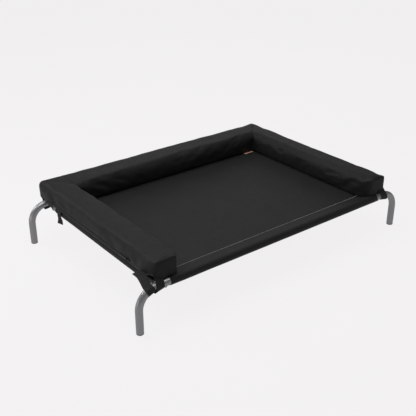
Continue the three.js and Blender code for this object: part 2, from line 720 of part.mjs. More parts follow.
const foamInX = BOLSTER_IN_X + FOAM_GAP;
const foamFar = BOLSTER_OUT_X + 10;
add('bolster_cover', bolsterCoverGeometry(), coverCloth);
add('foam_core_left', foamGeometry(-foamFar, -foamInX, -foamFar, foamFar), foam);
add('foam_core_right', foamGeometry(foamInX, foamFar, -foamFar, foamFar), foam);
add('foam_core_back', foamGeometry(-foamInX + FOAM_JOINT, foamInX - FOAM_JOINT, 0, foamFar), foam);

add('zip_tape_upper', zipTapeGeometry(1), coverCloth);
add('zip_tape_lower', zipTapeGeometry(-1), coverCloth);
add('zip_chain', zipChainGeometry(), zipPlastic);
add('zip_stop_front', zipStopGeometry(ZIP_FRONT_Y + FIT), zipPlastic);
add('zip_stop_back', zipStopGeometry(ZIP_BACK_Y - STOP_LENGTH - FIT), zipPlastic);
add('zip_slider', zipSliderGeometry(), zipPlastic);
add('zip_pull', zipPullGeometry(), zipPlastic, [pullPinX, pullPinY, ZIP_Z]);

const tag = new THREE.BoxGeometry(TAG_WIDTH, TAG_DEPTH, TAG_THICK);
const tagY = BOLSTER_IN_Y - TAG_DEPTH / 2 - FIT;
add('cloth_tag', tag, tagOrange, [TAG_X, tagY, BOLSTER_BOTTOM + 2]);

export default bed;
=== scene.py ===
import math

import bmesh
import bpy
import numpy as np
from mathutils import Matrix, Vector, noise
from mathutils.bvhtree import BVHTree


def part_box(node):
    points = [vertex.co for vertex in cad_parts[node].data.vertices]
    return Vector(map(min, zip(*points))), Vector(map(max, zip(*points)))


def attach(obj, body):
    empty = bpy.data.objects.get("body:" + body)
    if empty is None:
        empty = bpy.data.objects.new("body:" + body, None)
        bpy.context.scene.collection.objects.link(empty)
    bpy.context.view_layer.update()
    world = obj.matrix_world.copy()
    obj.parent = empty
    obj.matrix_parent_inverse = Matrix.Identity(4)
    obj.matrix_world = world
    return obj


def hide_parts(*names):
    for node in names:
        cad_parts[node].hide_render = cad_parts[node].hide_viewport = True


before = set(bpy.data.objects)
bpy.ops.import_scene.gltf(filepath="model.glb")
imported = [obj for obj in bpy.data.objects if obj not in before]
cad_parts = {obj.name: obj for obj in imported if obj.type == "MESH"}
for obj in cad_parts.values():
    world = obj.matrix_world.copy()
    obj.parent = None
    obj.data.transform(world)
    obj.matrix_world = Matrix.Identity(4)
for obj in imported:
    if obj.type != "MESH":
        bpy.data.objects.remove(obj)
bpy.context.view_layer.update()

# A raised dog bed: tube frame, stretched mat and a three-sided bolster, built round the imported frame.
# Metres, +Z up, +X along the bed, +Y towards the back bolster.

MM = 0.001
TURN_SIDES = 48  # facets round a tube or a turned part

# ---------------------------------------------------------------- places, read from the frame

rail_low, rail_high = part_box("left_side_rail")
tube_r = (rail_high.z - rail_low.z) / 2
rail_z = (rail_high.z + rail_low.z) / 2
side_x = -(rail_high.x + rail_low.x) / 2
centre_y = (rail_high.y + rail_low.y) / 2
side_rail_end = (rail_high.y - rail_low.y) / 2
front_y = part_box("front_rail")[0].y + tube_r
back_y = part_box("back_rail")[1].y - tube_r
half_y = (back_y - front_y) / 2
foot_low, foot_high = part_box("foot_plug_front_right")
foot_x = (foot_low.x + foot_high.x) / 2
plug_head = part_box("leg_front_right")[0].z - 0.3 * MM
joint_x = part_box("front_rail")[1].x
cover_low, cover_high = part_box("bolster_cover")
zip_low, zip_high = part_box("zip_chain")
tag_low, tag_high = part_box("cloth_tag")

TUBE_WALL = 1.2 * MM
ARRIS = 0.35 * MM  # the corner taken off a tube's cut end
BEND_R = foot_x - joint_x - 0.3 * MM
SPIGOT = 60 * MM
STUB_R = 8.9 * MM
FABRIC = 1.2 * MM
SEAM_INSET = 56 * MM


# ---------------------------------------------------------------- mesh helpers


MATERIALS = {}  # by name, which the slot arguments give too, except for the stitches and the floor


def link(name, mesh, finish):
    piece = bpy.data.objects.new(name, mesh)
    bpy.context.scene.collection.objects.link(piece)
    mesh.materials.append(MATERIALS[finish])
    return piece


def build(name, points, faces, finish, sharp=35):
    """A smooth-shaded mesh object, with edges over `sharp` degrees kept crisp."""
    mesh = bpy.data.meshes.new(name)
    mesh.from_pydata([tuple(p) for p in points], [], faces)
    mesh.validate()
    mesh.shade_smooth()
    mesh.set_sharp_from_angle(angle=math.radians(sharp))
    return link(name, mesh, finish)


def face_out(piece, merge=True):
    """Turns every face of a closed mesh outwards."""
    shell = bmesh.new()
    shell.from_mesh(piece.data)
    if merge:
        bmesh.ops.remove_doubles(shell, verts=shell.verts, dist=1e-6)
    bmesh.ops.recalc_face_normals(shell, faces=shell.faces)
    shell.to_mesh(piece.data)
    shell.free()
    return piece


def keep(piece, nodes=(), body="bed"):
    """Rides the piece on its body and hides the CAD nodes that it stands for."""
    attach(piece, body)
    if nodes:
        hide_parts(*nodes)
    return piece


def grid_faces(rows, columns, close_rows=False, close_columns=False):
    faces = []
    for i in range(rows if close_rows else rows - 1):
        for j in range(columns if close_columns else columns - 1):
            a, b = i * columns + j, i * columns + (j + 1) % columns
            c, d = (i + 1) % rows * columns + (j + 1) % columns, (i + 1) % rows * columns + j
            faces.append((a, b, c, d))
    return faces


def block_faces(rows, count):
    """Faces of a closed bar: rings of `count` points with a flat cap at each end."""
    faces = grid_faces(rows, count, close_columns=True)
    faces.append(tuple(range(count)))
    faces.append(tuple((rows - 1) * count + k for k in range(count)))
    return faces


def layered_faces(rows, columns):
    """Faces of a thin sheet: an upper grid, a lower grid and the rim that joins them."""
    count = rows * columns
    top = grid_faces(rows, columns)
    faces = top + [tuple(count + k for k in face[::-1]) for face in top]
    rim = list(range(columns)) + [i * columns + columns - 1 for i in range(1, rows)]
    rim += [(rows - 1) * columns + j for j in range(columns - 2, -1, -1)]
    rim += [i * columns for i in range(rows - 2, 0, -1)]
    for a, b in zip(rim, rim[1:] + rim[:1]):
        faces.append((a, count + a, count + b, b))
    return faces


def quarter_turn(steps, first=0):
    return [math.pi / 2 * k / steps for k in range(first, steps + 1)]


class Pile:
    """Collects several shells into one mesh."""

    def __init__(self):
        self.points, self.faces = [], []

    def add(self, points, faces):
        start = len(self.points)
        self.points.extend(np.asarray(points, float).tolist())
        self.faces.extend(tuple(start + i for i in face) for face in faces)

    def keep(self, name, slot, nodes=(), sharp=35, finish=None):
        piece = build(name, self.points, self.faces, finish or slot, sharp)
        return keep(face_out(piece), nodes)


def keep_shell(name, shell, slot, node, sharp=35):
    """One closed shell, given as (points, faces), that stands for one CAD node."""
    pile = Pile()
    pile.add(*shell)
    return pile.keep(name, slot, [node], sharp)


def set_weave(piece, weave):
    """Writes the cloth's own coordinates, in metres, given for each vertex."""
    layer = piece.data.uv_layers.new(name="weave")
    for loop in piece.data.loops:
        layer.data[loop.index].uv = weave[loop.vertex_index]


def keep_cloth(name, points, faces, weave, slot, node, sharp):
    """One sheet of cloth that stands for one CAD node."""
    piece = build(name, points, faces, slot, sharp)
    set_weave(piece, weave)
    return keep(face_out(piece), [node])


def distances(line):
    """Distance along a line to each of its points."""
    return np.concatenate([[0], np.cumsum(np.linalg.norm(np.diff(line, axis=0), axis=1))])


def swept(rings, sides, closed=False):
    """Rings of (centre, u, v, radius). An open sweep has flat caps, a closed one joins its ends."""
    points = []
    for centre, u, v, radius in rings:
        for k in range(sides):
            angle = 2 * math.pi * k / sides
            points.append(centre + u * (radius * math.cos(angle)) + v * (radius * math.sin(angle)))
    if closed:
        return points, grid_faces(len(rings), sides, close_rows=True, close_columns=True)
    return points, block_faces(len(rings), sides)


def lathe(profile, origin, axis, closed=False):
    """Turns (along, radius) pairs about an axis through origin."""
    axis = Vector(axis)
    u = axis.orthogonal().normalized()
    v = axis.cross(u)
    rings = [(Vector(origin) + axis * along, u, v, radius) for along, radius in profile]
    return swept(rings, TURN_SIDES, closed)


def mirror(points, sign_x, sign_y):
    """Carries points made for the +X, +Y corner to another corner of the bed."""
    return [(p[0] * sign_x, centre_y + (p[1] - centre_y) * sign_y, p[2]) for p in points]


def smoothstep(low, high, value):
    t = min(1.0, max(0.0, (value - low) / (high - low)))
    return t * t * (3 - 2 * t)


def wave(x, y=0.0, z=0.0, *, size):
    """Smooth noise from -1 to 1 with features about `size` metres across."""
    return noise.noise(Vector((x, y, z)) / size)


# ---------------------------------------------------------------- materials


class Finish:
    """A Principled material with short ways to add procedural detail."""

    def __init__(self, name, colour, roughness, metallic=0.0, uv=None):
        material = MATERIALS[name] = bpy.data.materials.new(name)
        material.use_nodes = True
        self.tree = material.node_tree
        self.shader = self.tree.nodes["Principled BSDF"]
        self.set({"Base Color": (*colour, 1), "Roughness": roughness, "Metallic": metallic})
        if uv:
            node = self.tree.nodes.new("ShaderNodeUVMap")
            node.uv_map = uv
            self.place = node.outputs["UV"]
        else:
            self.place = self.tree.nodes.new("ShaderNodeTexCoord").outputs["Object"]
        self.bump = None

    def feed(self, socket, value):
        """Links a socket's value, or sets a plain one."""
        if isinstance(value, bpy.types.NodeSocket):
            self.tree.links.new(value, socket)
        elif value is not None:
            socket.default_value = value

    def set(self, inputs):
        for name, value in inputs.items():
            self.feed(self.shader.inputs[name], value)

    def node(self, kind, **inputs):
        made = self.tree.nodes.new(kind)
        for name, value in inputs.items():
            self.feed(made.inputs[name.replace("_", " ").title()], value)
        return made

    def maths(self, operation, first, second=None):
        made = self.tree.nodes.new("ShaderNodeMath")
        made.operation = operation
        self.feed(made.inputs[0], first)
        self.feed(made.inputs[1], second)
        return made.outputs[0]

    def noise(self, scale, detail=3.0, place=None):
        made = self.node("ShaderNodeTexNoise", Vector=place or self.place, Scale=scale, Detail=detail)
        return made.outputs["Fac"]

    def ramp(self, value, *stops):
        """Base colour from (position, colour) stops."""
        made = self.node("ShaderNodeValToRGB", Fac=value)
        elements = made.color_ramp.elements
        elements[0].position, elements[0].color = stops[0][0], (*stops[0][1], 1)
        elements[1].position, elements[1].color = stops[-1][0], (*stops[-1][1], 1)
        for position, colour in stops[1:-1]:
            elements.new(position).color = (*colour, 1)
        self.set({"Base Color": made.outputs["Color"]})

    def rough(self, value, low, high):
        """Roughness from a 0 to 1 value, mapped onto low to high."""
        made = self.node("ShaderNodeMapRange", Value=value, To_Min=low, To_Max=high)
        self.set({"Roughness": made.outputs[0]})

    def relief(self, height, distance, strength=1.0):
        made = self.node("ShaderNodeBump", Height=height, Distance=distance, Strength=strength)
        self.feed(made.inputs["Normal"], self.bump)
        self.bump = made.outputs["Normal"]
        self.set({"Normal": self.bump})


def weave_height(finish, pitch):
    """Plain weave: raised warp and weft threads that swap over at each crossing."""
    split = finish.node("ShaderNodeSeparateXYZ", Vector=finish.place)
    turns = math.pi / pitch
    warp = finish.maths("SINE", finish.maths("MULTIPLY", split.outputs["X"], turns))
    weft = finish.maths("SINE", finish.maths("MULTIPLY", split.outputs["Y"], turns))
    over = finish.maths("MULTIPLY", warp, weft)
    thread = finish.maths("MAXIMUM", finish.maths("ABSOLUTE", warp), finish.maths("ABSOLUTE", weft))
    return finish.maths("ADD", finish.maths("MULTIPLY", over, 0.5), thread)


def cloth_finish(name, dark, light, pitch, relief, sheen, roughness):
    """Woven synthetic cloth: thread relief, slubs along the weave, soft uneven fade."""
    finish = Finish(name, light, roughness[1], uv="weave")
    finish.set({"Sheen Weight": sheen, "Sheen Roughness": 0.45, "Specular IOR Level": 0.25})
    fade = finish.noise(9.0, 4.0)
    stretched = finish.node("ShaderNodeMapping", Vector=finish.place, Scale=(60.0, 900.0, 1.0))
    slub = finish.noise(1.0, 2.0, stretched.outputs[0])
    fleck = finish.noise(700.0, 2.0)
    mixed = finish.maths("ADD", finish.maths("MULTIPLY", fade, 0.5), finish.maths("MULTIPLY", slub, 0.3))
    mixed = finish.maths("ADD", mixed, finish.maths("MULTIPLY", fleck, 0.2))
    finish.ramp(mixed, (0.34, dark), (0.66, light))
    finish.rough(finish.noise(35.0, 3.0), *roughness)
    finish.relief(weave_height(finish, pitch), relief)
    finish.relief(finish.noise(55.0, 4.0), 0.25 * MM, 0.5)


def grey(value):
    """A grey with a slight blue cast."""
    return (value, value, value * 1.03)


def mottled(name, colour, roughness, tones, matt=None, relief=None, metallic=0.0, edge=0.3):
    """A grey finish that varies with noise. Tones, matt and relief each start with a scale and a detail."""
    finish = Finish(name, grey(colour), roughness, metallic)
    scale, detail, dark, light = tones
    finish.ramp(finish.noise(scale, detail), (edge, grey(dark)), (1 - edge, grey(light)))
    if matt:
        scale, detail, low, high = matt
        finish.rough(finish.noise(scale, detail), low, high)
    if relief:
        scale, detail, depth, strength = relief
        finish.relief(finish.noise(scale, detail), depth * MM, strength)
    return finish


def make_materials():
    cloth_finish("cover_cloth", grey(0.009), grey(0.0145), 0.8 * MM, 0.10 * MM, 0.05, (0.46, 0.60))
    cloth_finish("mat_cloth", grey(0.013), grey(0.018), 1.1 * MM, 0.14 * MM, 0.04, (0.50, 0.62))

    tape = Finish("webbing", grey(0.035), 0.7, uv="weave")
    tape.set({"Sheen Weight": 0.05, "Specular IOR Level": 0.3})
    split = tape.node("ShaderNodeSeparateXYZ", Vector=tape.place)
    rib = tape.maths("SINE", tape.maths("MULTIPLY", split.outputs["X"], 2 * math.pi / (1.6 * MM)))
    herring = tape.maths("ADD", split.outputs["X"], tape.maths("PINGPONG", split.outputs["Y"], 2.2 * MM))
    twill = tape.maths("SINE", tape.maths("MULTIPLY", herring, 2 * math.pi / (1.1 * MM)))
    tape.ramp(tape.noise(300.0), (0.3, grey(0.013)), (0.7, grey(0.026)))
    tape.rough(tape.noise(80.0), 0.6, 0.8)
    tape.relief(tape.maths("ADD", rib, twill), 0.12 * MM, 0.8)

    steel = mottled("frame_steel", 0.40, 0.36, (420, 4, 0.37, 0.43), (130, 4, 0.30, 0.42),
                    (900, 2, 0.05, 0.5), metallic=0.65, edge=0.35)
    steel.relief(steel.noise(45.0, 3.0), 0.08 * MM, 0.3)
    steel.set({"Coat Weight": 0.15, "Coat Roughness": 0.25})

    mottled("foot_plastic", 0.22, 0.5, (160, 3, 0.19, 0.25), (220, 4, 0.42, 0.6), (1200, 2, 0.04, 0.6))
    mottled("black_plastic", 0.035, 0.45, (200, 3, 0.028, 0.045), (250, 4, 0.35, 0.55), (1500, 2, 0.03, 0.6))
    mottled("screw_zinc", 0.25, 0.35, (500, 3, 0.16, 0.32), (300, 3, 0.25, 0.45), (800, 3, 0.03, 0.5), 0.95)
    mottled("zip_plastic", 0.012, 0.35, (400, 3, 0.009, 0.02), (300, 3, 0.28, 0.45))
    mottled("thread", 0.22, 0.6, (900, 2, 0.26, 0.40), relief=(2500, 2, 0.1, 0.6))

    foam = Finish("foam", (0.62, 0.58, 0.48), 0.95)
    cells = foam.node("ShaderNodeTexVoronoi", Vector=foam.place, Scale=650.0)
    foam.ramp(cells.outputs["Distance"], (0.1, (0.42, 0.38, 0.30)), (0.5, (0.66, 0.62, 0.52)))
    foam.relief(cells.outputs["Distance"], 0.5 * MM, 0.7)
    foam.rough(foam.noise(60.0), 0.9, 1.0)

    tag = Finish("tag_cloth", (0.8, 0.25, 0.05), 0.65, uv="weave")
    tag.set({"Sheen Weight": 0.2})
    split = tag.node("ShaderNodeSeparateXYZ", Vector=tag.place)
    edge = tag.maths("ABSOLUTE", tag.maths("SUBTRACT", split.outputs["Y"], 6 * MM))
    band = tag.maths("DIVIDE", edge, 6 * MM)
    cream = (0.8, 0.75, 0.66)
    tag.ramp(band, (0.0, (0.85, 0.22, 0.04)), (0.52, (0.80, 0.20, 0.03)), (0.60, cream), (1.0, cream))
    tag.relief(weave_height(tag, 0.5 * MM), 0.08 * MM)


# ---------------------------------------------------------------- studio

STUDIO_WHITE = (1.0, 0.985, 0.993, 1)


def make_camera():
    """The studio camera, high in front of the left corner."""
    data = bpy.data.cameras.new("camera")
    data.lens = 60.78
    data.sensor_width = 36
    camera = bpy.data.objects.new("camera", data)
    camera.location = (-1.5076, -1.8851, 1.2939)
    camera.rotation_euler = (math.radians(63.74), 0, math.radians(-38.06))
    bpy.context.scene.collection.objects.link(camera)
    bpy.context.scene.camera = camera


def seen_or_lighting(tree, seen, lighting):
    """One strength for what the camera sees, another for the light thrown on the bed."""
    path = tree.nodes.new("ShaderNodeLightPath")
    spread = tree.nodes.new("ShaderNodeMapRange")
    spread.inputs["To Min"].default_value = lighting
    spread.inputs["To Max"].default_value = seen
    tree.links.new(path.outputs["Is Camera Ray"], spread.inputs["Value"])
    return spread.outputs[0]


def make_floor():
    """A pale, softly glowing floor, so that shadows stay faint."""
    finish = Finish("floor", (0.5, 0.5, 0.5), 0.9)
    finish.set({"Specular IOR Level": 0.0, "Emission Color": STUDIO_WHITE})
    finish.ramp(finish.noise(0.8, 2.0), (0.2, (0.055, 0.055, 0.055)), (0.8, (0.06, 0.06, 0.06)))
    finish.set({"Emission Strength": seen_or_lighting(finish.tree, 0.865, 0.42)})
    mesh = bpy.data.meshes.new("floor")
    size = 40
    outline = [(-size, -size, 0), (size, -size, 0), (size, size, 0), (-size, size, 0)]
    mesh.from_pydata(outline, [], [(0, 1, 2, 3)])
    floor = link("floor", mesh, "floor")
    floor.location.z = -0.2 * MM


def make_softbox(name, at, target, size, watts):
    data = bpy.data.lights.new(name, "AREA")
    data.shape = "RECTANGLE"
    data.size, data.size_y = size
    data.energy = watts
    lamp = bpy.data.objects.new(name, data)
    lamp.location = at
    lamp.rotation_euler = (Vector(target) - Vector(at)).to_track_quat("-Z", "Y").to_euler()
    bpy.context.scene.collection.objects.link(lamp)


def make_studio():
    make_camera()
    make_floor()
    scene = bpy.context.scene
    scene.view_settings.view_transform = "Standard"
    world = bpy.data.worlds.new("studio")
    world.use_nodes = True
    tree = world.node_tree
    background = tree.nodes["Background"]
    tree.links.new(seen_or_lighting(tree, 0.90, 0.15), background.inputs["Strength"])
    background.inputs["Color"].default_value = STUDIO_WHITE
    scene.world = world
    make_softbox("top_softbox", (-0.4, 0.15, 2.4), (-0.1, 0, 0.2), (2.2, 2.2), 34)
    make_softbox("left_softbox", (-1.75, 0.25, 0.22), (-0.5, 0, 0.16), (1.4, 0.4), 1.5)
    make_softbox("left_back_softbox", (-1.5, 1.6, 1.45), (-0.5, 0, 0.2), (0.6, 0.6), 10)
    make_softbox("back_softbox", (1.9, 2.5, 1.35), (0, 0, 0.15), (2.6, 1.2), 5)


# ---------------------------------------------------------------- frame


def tube_end(along, radius, bore, direction):
    """Ring radii round a tube's cut end, from outside to bore, with the arris taken off."""
    return [
        (along - direction * ARRIS, radius),
        (along - direction * ARRIS * 0.3, radius - ARRIS * 0.3),
        (along, radius - ARRIS),
        (along, bore + ARRIS),
        (along - direction * ARRIS, bore),
    ]


def straight_tube(from_, to, radius, bore):
    """Closed profile of a hollow tube, as (along, radius) pairs."""
    start = tube_end(from_, radius, bore, -1)
    end = tube_end(to, radius, bore, 1)
    return start[::-1] + end


def long_rail(name, y, stub_sign):
    pile = Pile()
    tube = straight_tube(-joint_x, joint_x, tube_r, tube_r - TUBE_WALL)
    pile.add(*lathe(tube, (0, y, rail_z), (1, 0, 0), closed=True))
    root = tube_r - 1.5 * MM
    stub_end = 92 * MM
    for sign in (-1, 1):
        at = (sign * side_x, y, rail_z)
        way = (0, stub_sign, 0)
        pile.add(*lathe(straight_tube(root, stub_end, STUB_R, 7.5 * MM), at, way, closed=True))
        bead = []
        for k in range(10):
            angle = 2 * math.pi * k / 10
            along = tube_r - 0.4 * MM + 2.0 * MM * math.cos(angle)
            bead.append((along, STUB_R + 1.0 * MM + 1.8 * MM * math.sin(angle)))
        pile.add(*lathe(bead, at, way, closed=True))
    pile.keep(f"{name}_tube", "frame_steel", [name])


def leg_centreline():
    """Centre and direction of the +X leg's axis at y 0, from the floor end up and round the bend."""
    path = [(Vector((foot_x, 0, plug_head)), Vector((0, 0, 1)))]
    bend_x, bend_z = foot_x - BEND_R, rail_z - BEND_R
    for k in range(1, 4):
        path.append((Vector((foot_x, 0, plug_head + (bend_z - plug_head) * k / 4)), Vector((0, 0, 1))))
    for angle in quarter_turn(18):
        at = Vector((bend_x + BEND_R * math.cos(angle), 0, bend_z + BEND_R * math.sin(angle)))
        path.append((at, Vector((-math.sin(angle), 0, math.cos(angle)))))
    return path


def leg_rings(radius):
    """Rings of one surface of the leg."""
    rings = []
    u = Vector((0, 1, 0))
    for at, way in leg_centreline():
        rings.append((at, u, way.cross(u), radius))
    return rings


def make_leg(corner, sign_x, y):
    u = Vector((0, 1, 0))
    up = Vector((0, 0, 1)).cross(u)
    level = Vector((-1, 0, 0)).cross(u)
    foot = Vector((foot_x, 0, plug_head + 0.3 * MM))
    shoulder = Vector((foot_x - BEND_R, 0, rail_z))
    bore = tube_r - TUBE_WALL
    spigot_r = bore - 0.3 * MM
    outside = leg_rings(tube_r)
    inside = leg_rings(bore)[::-1]
    tip = shoulder - Vector((SPIGOT, 0, 0))
    rings = [(foot, u, up, tube_r - ARRIS)] + outside[1:-1]
    rings += [
        (shoulder + Vector((ARRIS, 0, 0)), u, level, tube_r),
        (shoulder, u, level, tube_r - ARRIS),
        (shoulder, u, level, spigot_r),
        (tip + Vector((1.5 * MM, 0, 0)), u, level, spigot_r),
        (tip, u, level, spigot_r - 1.0 * MM),
        (tip, u, level, spigot_r - TUBE_WALL - 0.1 * MM),
        (shoulder, u, level, spigot_r - TUBE_WALL),
    ]
    rings += inside[1:-1] + [(foot, u, up, bore)]
    points, faces = swept(rings, TURN_SIDES, closed=True)
    points = [(p.x * sign_x, p.y + y, p.z) for p in points]
    keep_shell(f"leg_tube_{corner}", (points, faces), "frame_steel", f"leg_{corner}")


def make_foot_plug(corner, sign_x, y):
    low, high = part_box(f"foot_plug_{corner}")
    face_r = 9 * MM
    round_r = tube_r - face_r
    groove = 0.35 * MM
    profile = [(0, 1 * MM), (0, face_r * 0.55), (groove, face_r * 0.62), (groove, face_r * 0.8)]
    profile += [(0, face_r * 0.88), (0, face_r)]
    for angle in quarter_turn(8, first=1):
        profile.append((round_r * (1 - math.cos(angle)), face_r + round_r * math.sin(angle)))
    stem_r = tube_r - TUBE_WALL - 0.3 * MM
    profile += [(plug_head - 0.3 * MM, tube_r), (plug_head, tube_r - 0.3 * MM), (plug_head, stem_r)]
    for k in range(4):
        at = plug_head + (3 + 4 * k) * MM
        profile += [(at - 1 * MM, stem_r - 0.5 * MM), (at, stem_r), (at + 0.4 * MM, stem_r - 0.5 * MM)]
    profile += [(high.z - 1 * MM, stem_r - 0.5 * MM), (high.z, stem_r - 1.5 * MM), (high.z, 1 * MM)]
    shell = lathe(profile, (sign_x * foot_x, y, 0), (0, 0, 1))
    keep_shell(f"foot_cap_{corner}", shell, "foot_plastic", f"foot_plug_{corner}")


def make_side_rail(side, sign_x):
    profile = straight_tube(-side_rail_end, side_rail_end, tube_r, tube_r - TUBE_WALL)
    shell = lathe(profile, (sign_x * side_x, centre_y, rail_z), (0, 1, 0), closed=True)
    keep_shell(f"{side}_side_tube", shell, "frame_steel", f"{side}_side_rail")


def make_collar(corner, sign_x, sign_y):
    """The black bush in a side rail's end: a sleeve in the tube, a rounded flange, a nose over the stub."""
    inner = STUB_R + 0.25 * MM
    sleeve_r = tube_r - TUBE_WALL - 0.2 * MM
    flange_r = 14.2 * MM
    face = side_rail_end + 0.2 * MM
    top = face + 3.2 * MM
    r = 1.1 * MM
    profile = [(side_rail_end - 30 * MM, inner), (side_rail_end - 30 * MM, sleeve_r - 0.5 * MM)]
    profile += [(side_rail_end - 29 * MM, sleeve_r), (face, sleeve_r)]
    profile += [(face, flange_r - 0.3 * MM), (face + 0.3 * MM, flange_r)]
    for angle in quarter_turn(5):
        profile.append((top - r + r * math.sin(angle), flange_r - r + r * math.cos(angle)))
    nose_r, nose = inner + 1.4 * MM, half_y - tube_r - 1.5 * MM
    profile += [(top, nose_r), (nose - 0.5 * MM, nose_r), (nose, nose_r - 0.5 * MM), (nose, inner)]
    points, faces = lathe(profile, (side_x, centre_y, rail_z), (0, 1, 0), closed=True)
    shell = mirror(points, sign_x, sign_y), faces
    keep_shell(f"collar_{corner}", shell, "black_plastic", f"side_collar_{corner}")


def make_screw(node):
    """A domed screw, head down, with a hexagon socket."""
    low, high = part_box(node)
    x, y = (low.x + high.x) / 2, (low.y + high.y) / 2
    head_r, shank_r, head = 5.5 * MM, 3 * MM, 3 * MM
    points = []
    socket_top, socket_r = low.z + 1.9 * MM, 2.2 * MM
    rings = [(socket_top, 0.2 * MM, 1), (socket_top, socket_r, 1)]
    rings += [(low.z + 0.2 * MM, socket_r, 1), (low.z, 2.5 * MM, 0.5)]
    for angle in quarter_turn(6):
        rings.append((low.z + head * 0.6 * (1 - math.cos(angle)), 3.3 * MM + 2.2 * MM * math.sin(angle), 0))
    rings += [(low.z + head, head_r, 0), (low.z + head, shank_r, 0)]
    rings += [(high.z - 0.6 * MM, shank_r, 0), (high.z, shank_r - 0.6 * MM, 0)]
    for z, radius, hexagon in rings:
        for k in range(TURN_SIDES):
            angle = 2 * math.pi * k / TURN_SIDES
            flat = math.cos(math.pi / 6) / math.cos(angle % (math.pi / 3) - math.pi / 6)
            r = radius * (1 + hexagon * (flat - 1))
            points.append((x + r * math.cos(angle), y + r * math.sin(angle), z))
    shell = points, block_faces(len(rings), TURN_SIDES)
    keep_shell(f"{node}_domed", shell, "screw_zinc", node)


ENDS = {"front": -1, "back": 1}
SIDES = {"left": -1, "right": 1}


def corners():
    for end, sign_y in ENDS.items():
        for side, sign_x in SIDES.items():
            yield f"{end}_{side}", sign_x, sign_y


def make_frame():
    long_rail("front_rail", front_y, 1)
    long_rail("back_rail", back_y, -1)
    for side, sign_x in SIDES.items():
        make_side_rail(side, sign_x)
    for corner, sign_x, sign_y in corners():
        y = centre_y + sign_y * half_y
        make_leg(corner, sign_x, y)
        make_foot_plug(corner, sign_x, y)
        make_collar(corner, sign_x, sign_y)
        make_screw(f"leg_screw_{corner}")
        make_screw(f"side_screw_{corner}")


# ---------------------------------------------------------------- mat


SEAM_FLAT = 9 * MM  # width of the sewn, flat part of a sleeve


def sleeve_centreline():
    """Middle of the sleeve's cloth as (towards the mat, up), from its lower edge round the tube and back."""
    r = tube_r + 0.4 * MM + FABRIC / 2
    flat_from = SEAM_INSET - SEAM_FLAT
    tangent = math.acos(r / flat_from) + math.asin(FABRIC / flat_from)
    points = []
    for k in range(5):
        points.append((SEAM_INSET - SEAM_FLAT * k / 4, -FABRIC))
    steps = 8
    touch = (r * math.cos(tangent), r * math.sin(tangent))
    for k in range(1, steps):
        t = k / steps
        points.append((flat_from + (touch[0] - flat_from) * t, -FABRIC + (-touch[1] + FABRIC) * t))
    arc = 28
    for k in range(arc + 1):
        angle = -tangent - (2 * math.pi - 2 * tangent) * k / arc
        points.append((r * math.cos(angle), r * math.sin(angle)))
    return points + [(p[0], -p[1]) for p in points[: 5 + steps - 1]][::-1]


def strip_outline(line, thickness):
    """Closed outline of a strip of cloth along a line."""
    line = np.array(line)
    way = np.gradient(line, axis=0)
    way /= np.linalg.norm(way, axis=1)[:, None]
    side = np.stack([-way[:, 1], way[:, 0]], axis=1) * thickness / 2
    return np.vstack([line + side, (line - side)[::-1]])


def make_sleeve(name, half_length, place):
    """place(along, inward, up) gives the point in the bed's frame."""
    line = sleeve_centreline()
    outline = strip_outline(line, FABRIC)
    count = len(outline)
    perimeter = distances(outline)
    rows = int(half_length * 2 / (7 * MM)) + 1
    points, weave = [], []
    seed = sum(map(ord, name))
    for i in range(rows):
        along = -half_length + 2 * half_length * i / (rows - 1)
        near_end = smoothstep(half_length - 25 * MM, half_length, abs(along))
        for j in range(count):
            inward, up = outline[j]
            slack = smoothstep(6 * MM, 30 * MM, inward) * (1 - smoothstep(44 * MM, 54 * MM, inward))
            pucker = smoothstep(30 * MM, 46 * MM, inward)
            lift = 0.7 * MM * slack * wave(along, seed, size=70 * MM)
            lift += 0.35 * MM * pucker * wave(along, seed + 9, size=14 * MM)
            lift += 0.5 * MM * near_end * wave(along, inward, seed, size=12 * MM)
            round_tube = 1 - smoothstep(0, 20 * MM, inward)
            swell = 0.5 * MM * round_tube * (0.6 + wave(along, seed + 5, size=90 * MM))
            out = math.hypot(inward, up)
            point = (inward * (1 + swell / out), up * (1 + swell / out) + lift * (1 if up > 0 else 0.6))
            points.append(place(along, *point))
            weave.append((along, perimeter[j]))
    faces = block_faces(rows, count)
    piece = keep_cloth(f"{name}_cloth", points, faces, weave, "mat_cloth", name, sharp=50)
    length = float(np.linalg.norm(np.diff(np.array(line), axis=0), axis=1).sum())
    return piece, length


MAT_RIDGES = [(0.300, 0.35), (0.190, -0.10), (0.080, 0.20), (-0.060, -0.25), (-0.190, 0.15), (-0.270, -0.2)]


def mat_lift(x, y):
    """Height of the mat over its own plane: a slight sag, soft waves and pulls at the bolster's foot."""
    u, v = x / (side_x - SEAM_INSET), (y - centre_y) / (half_y - SEAM_INSET)
    hold = max(0.0, 1 - u * u) * max(0.0, 1 - v * v)
    z = -3.5 * MM * hold ** 0.8
    z += hold * (0.9 * MM * wave(x, y, 1, size=0.20) + 0.35 * MM * wave(x, y, 2, size=0.07))
    foot = cover_high.x - 105 * MM
    for sign, strength in ((1, 1.0), (-1, 0.7)):
        for y0, slope in MAT_RIDGES:
            away = foot - sign * x
            across = (y - centre_y - y0) - slope * away
            width = 5 * MM + 0.10 * max(away, 0.0)
            reach = math.exp(-((away - 14 * MM) / (55 * MM)) ** 2)
            z += strength * 1.3 * MM * math.exp(-(across / width) ** 2) * reach * hold ** 0.3
    return z


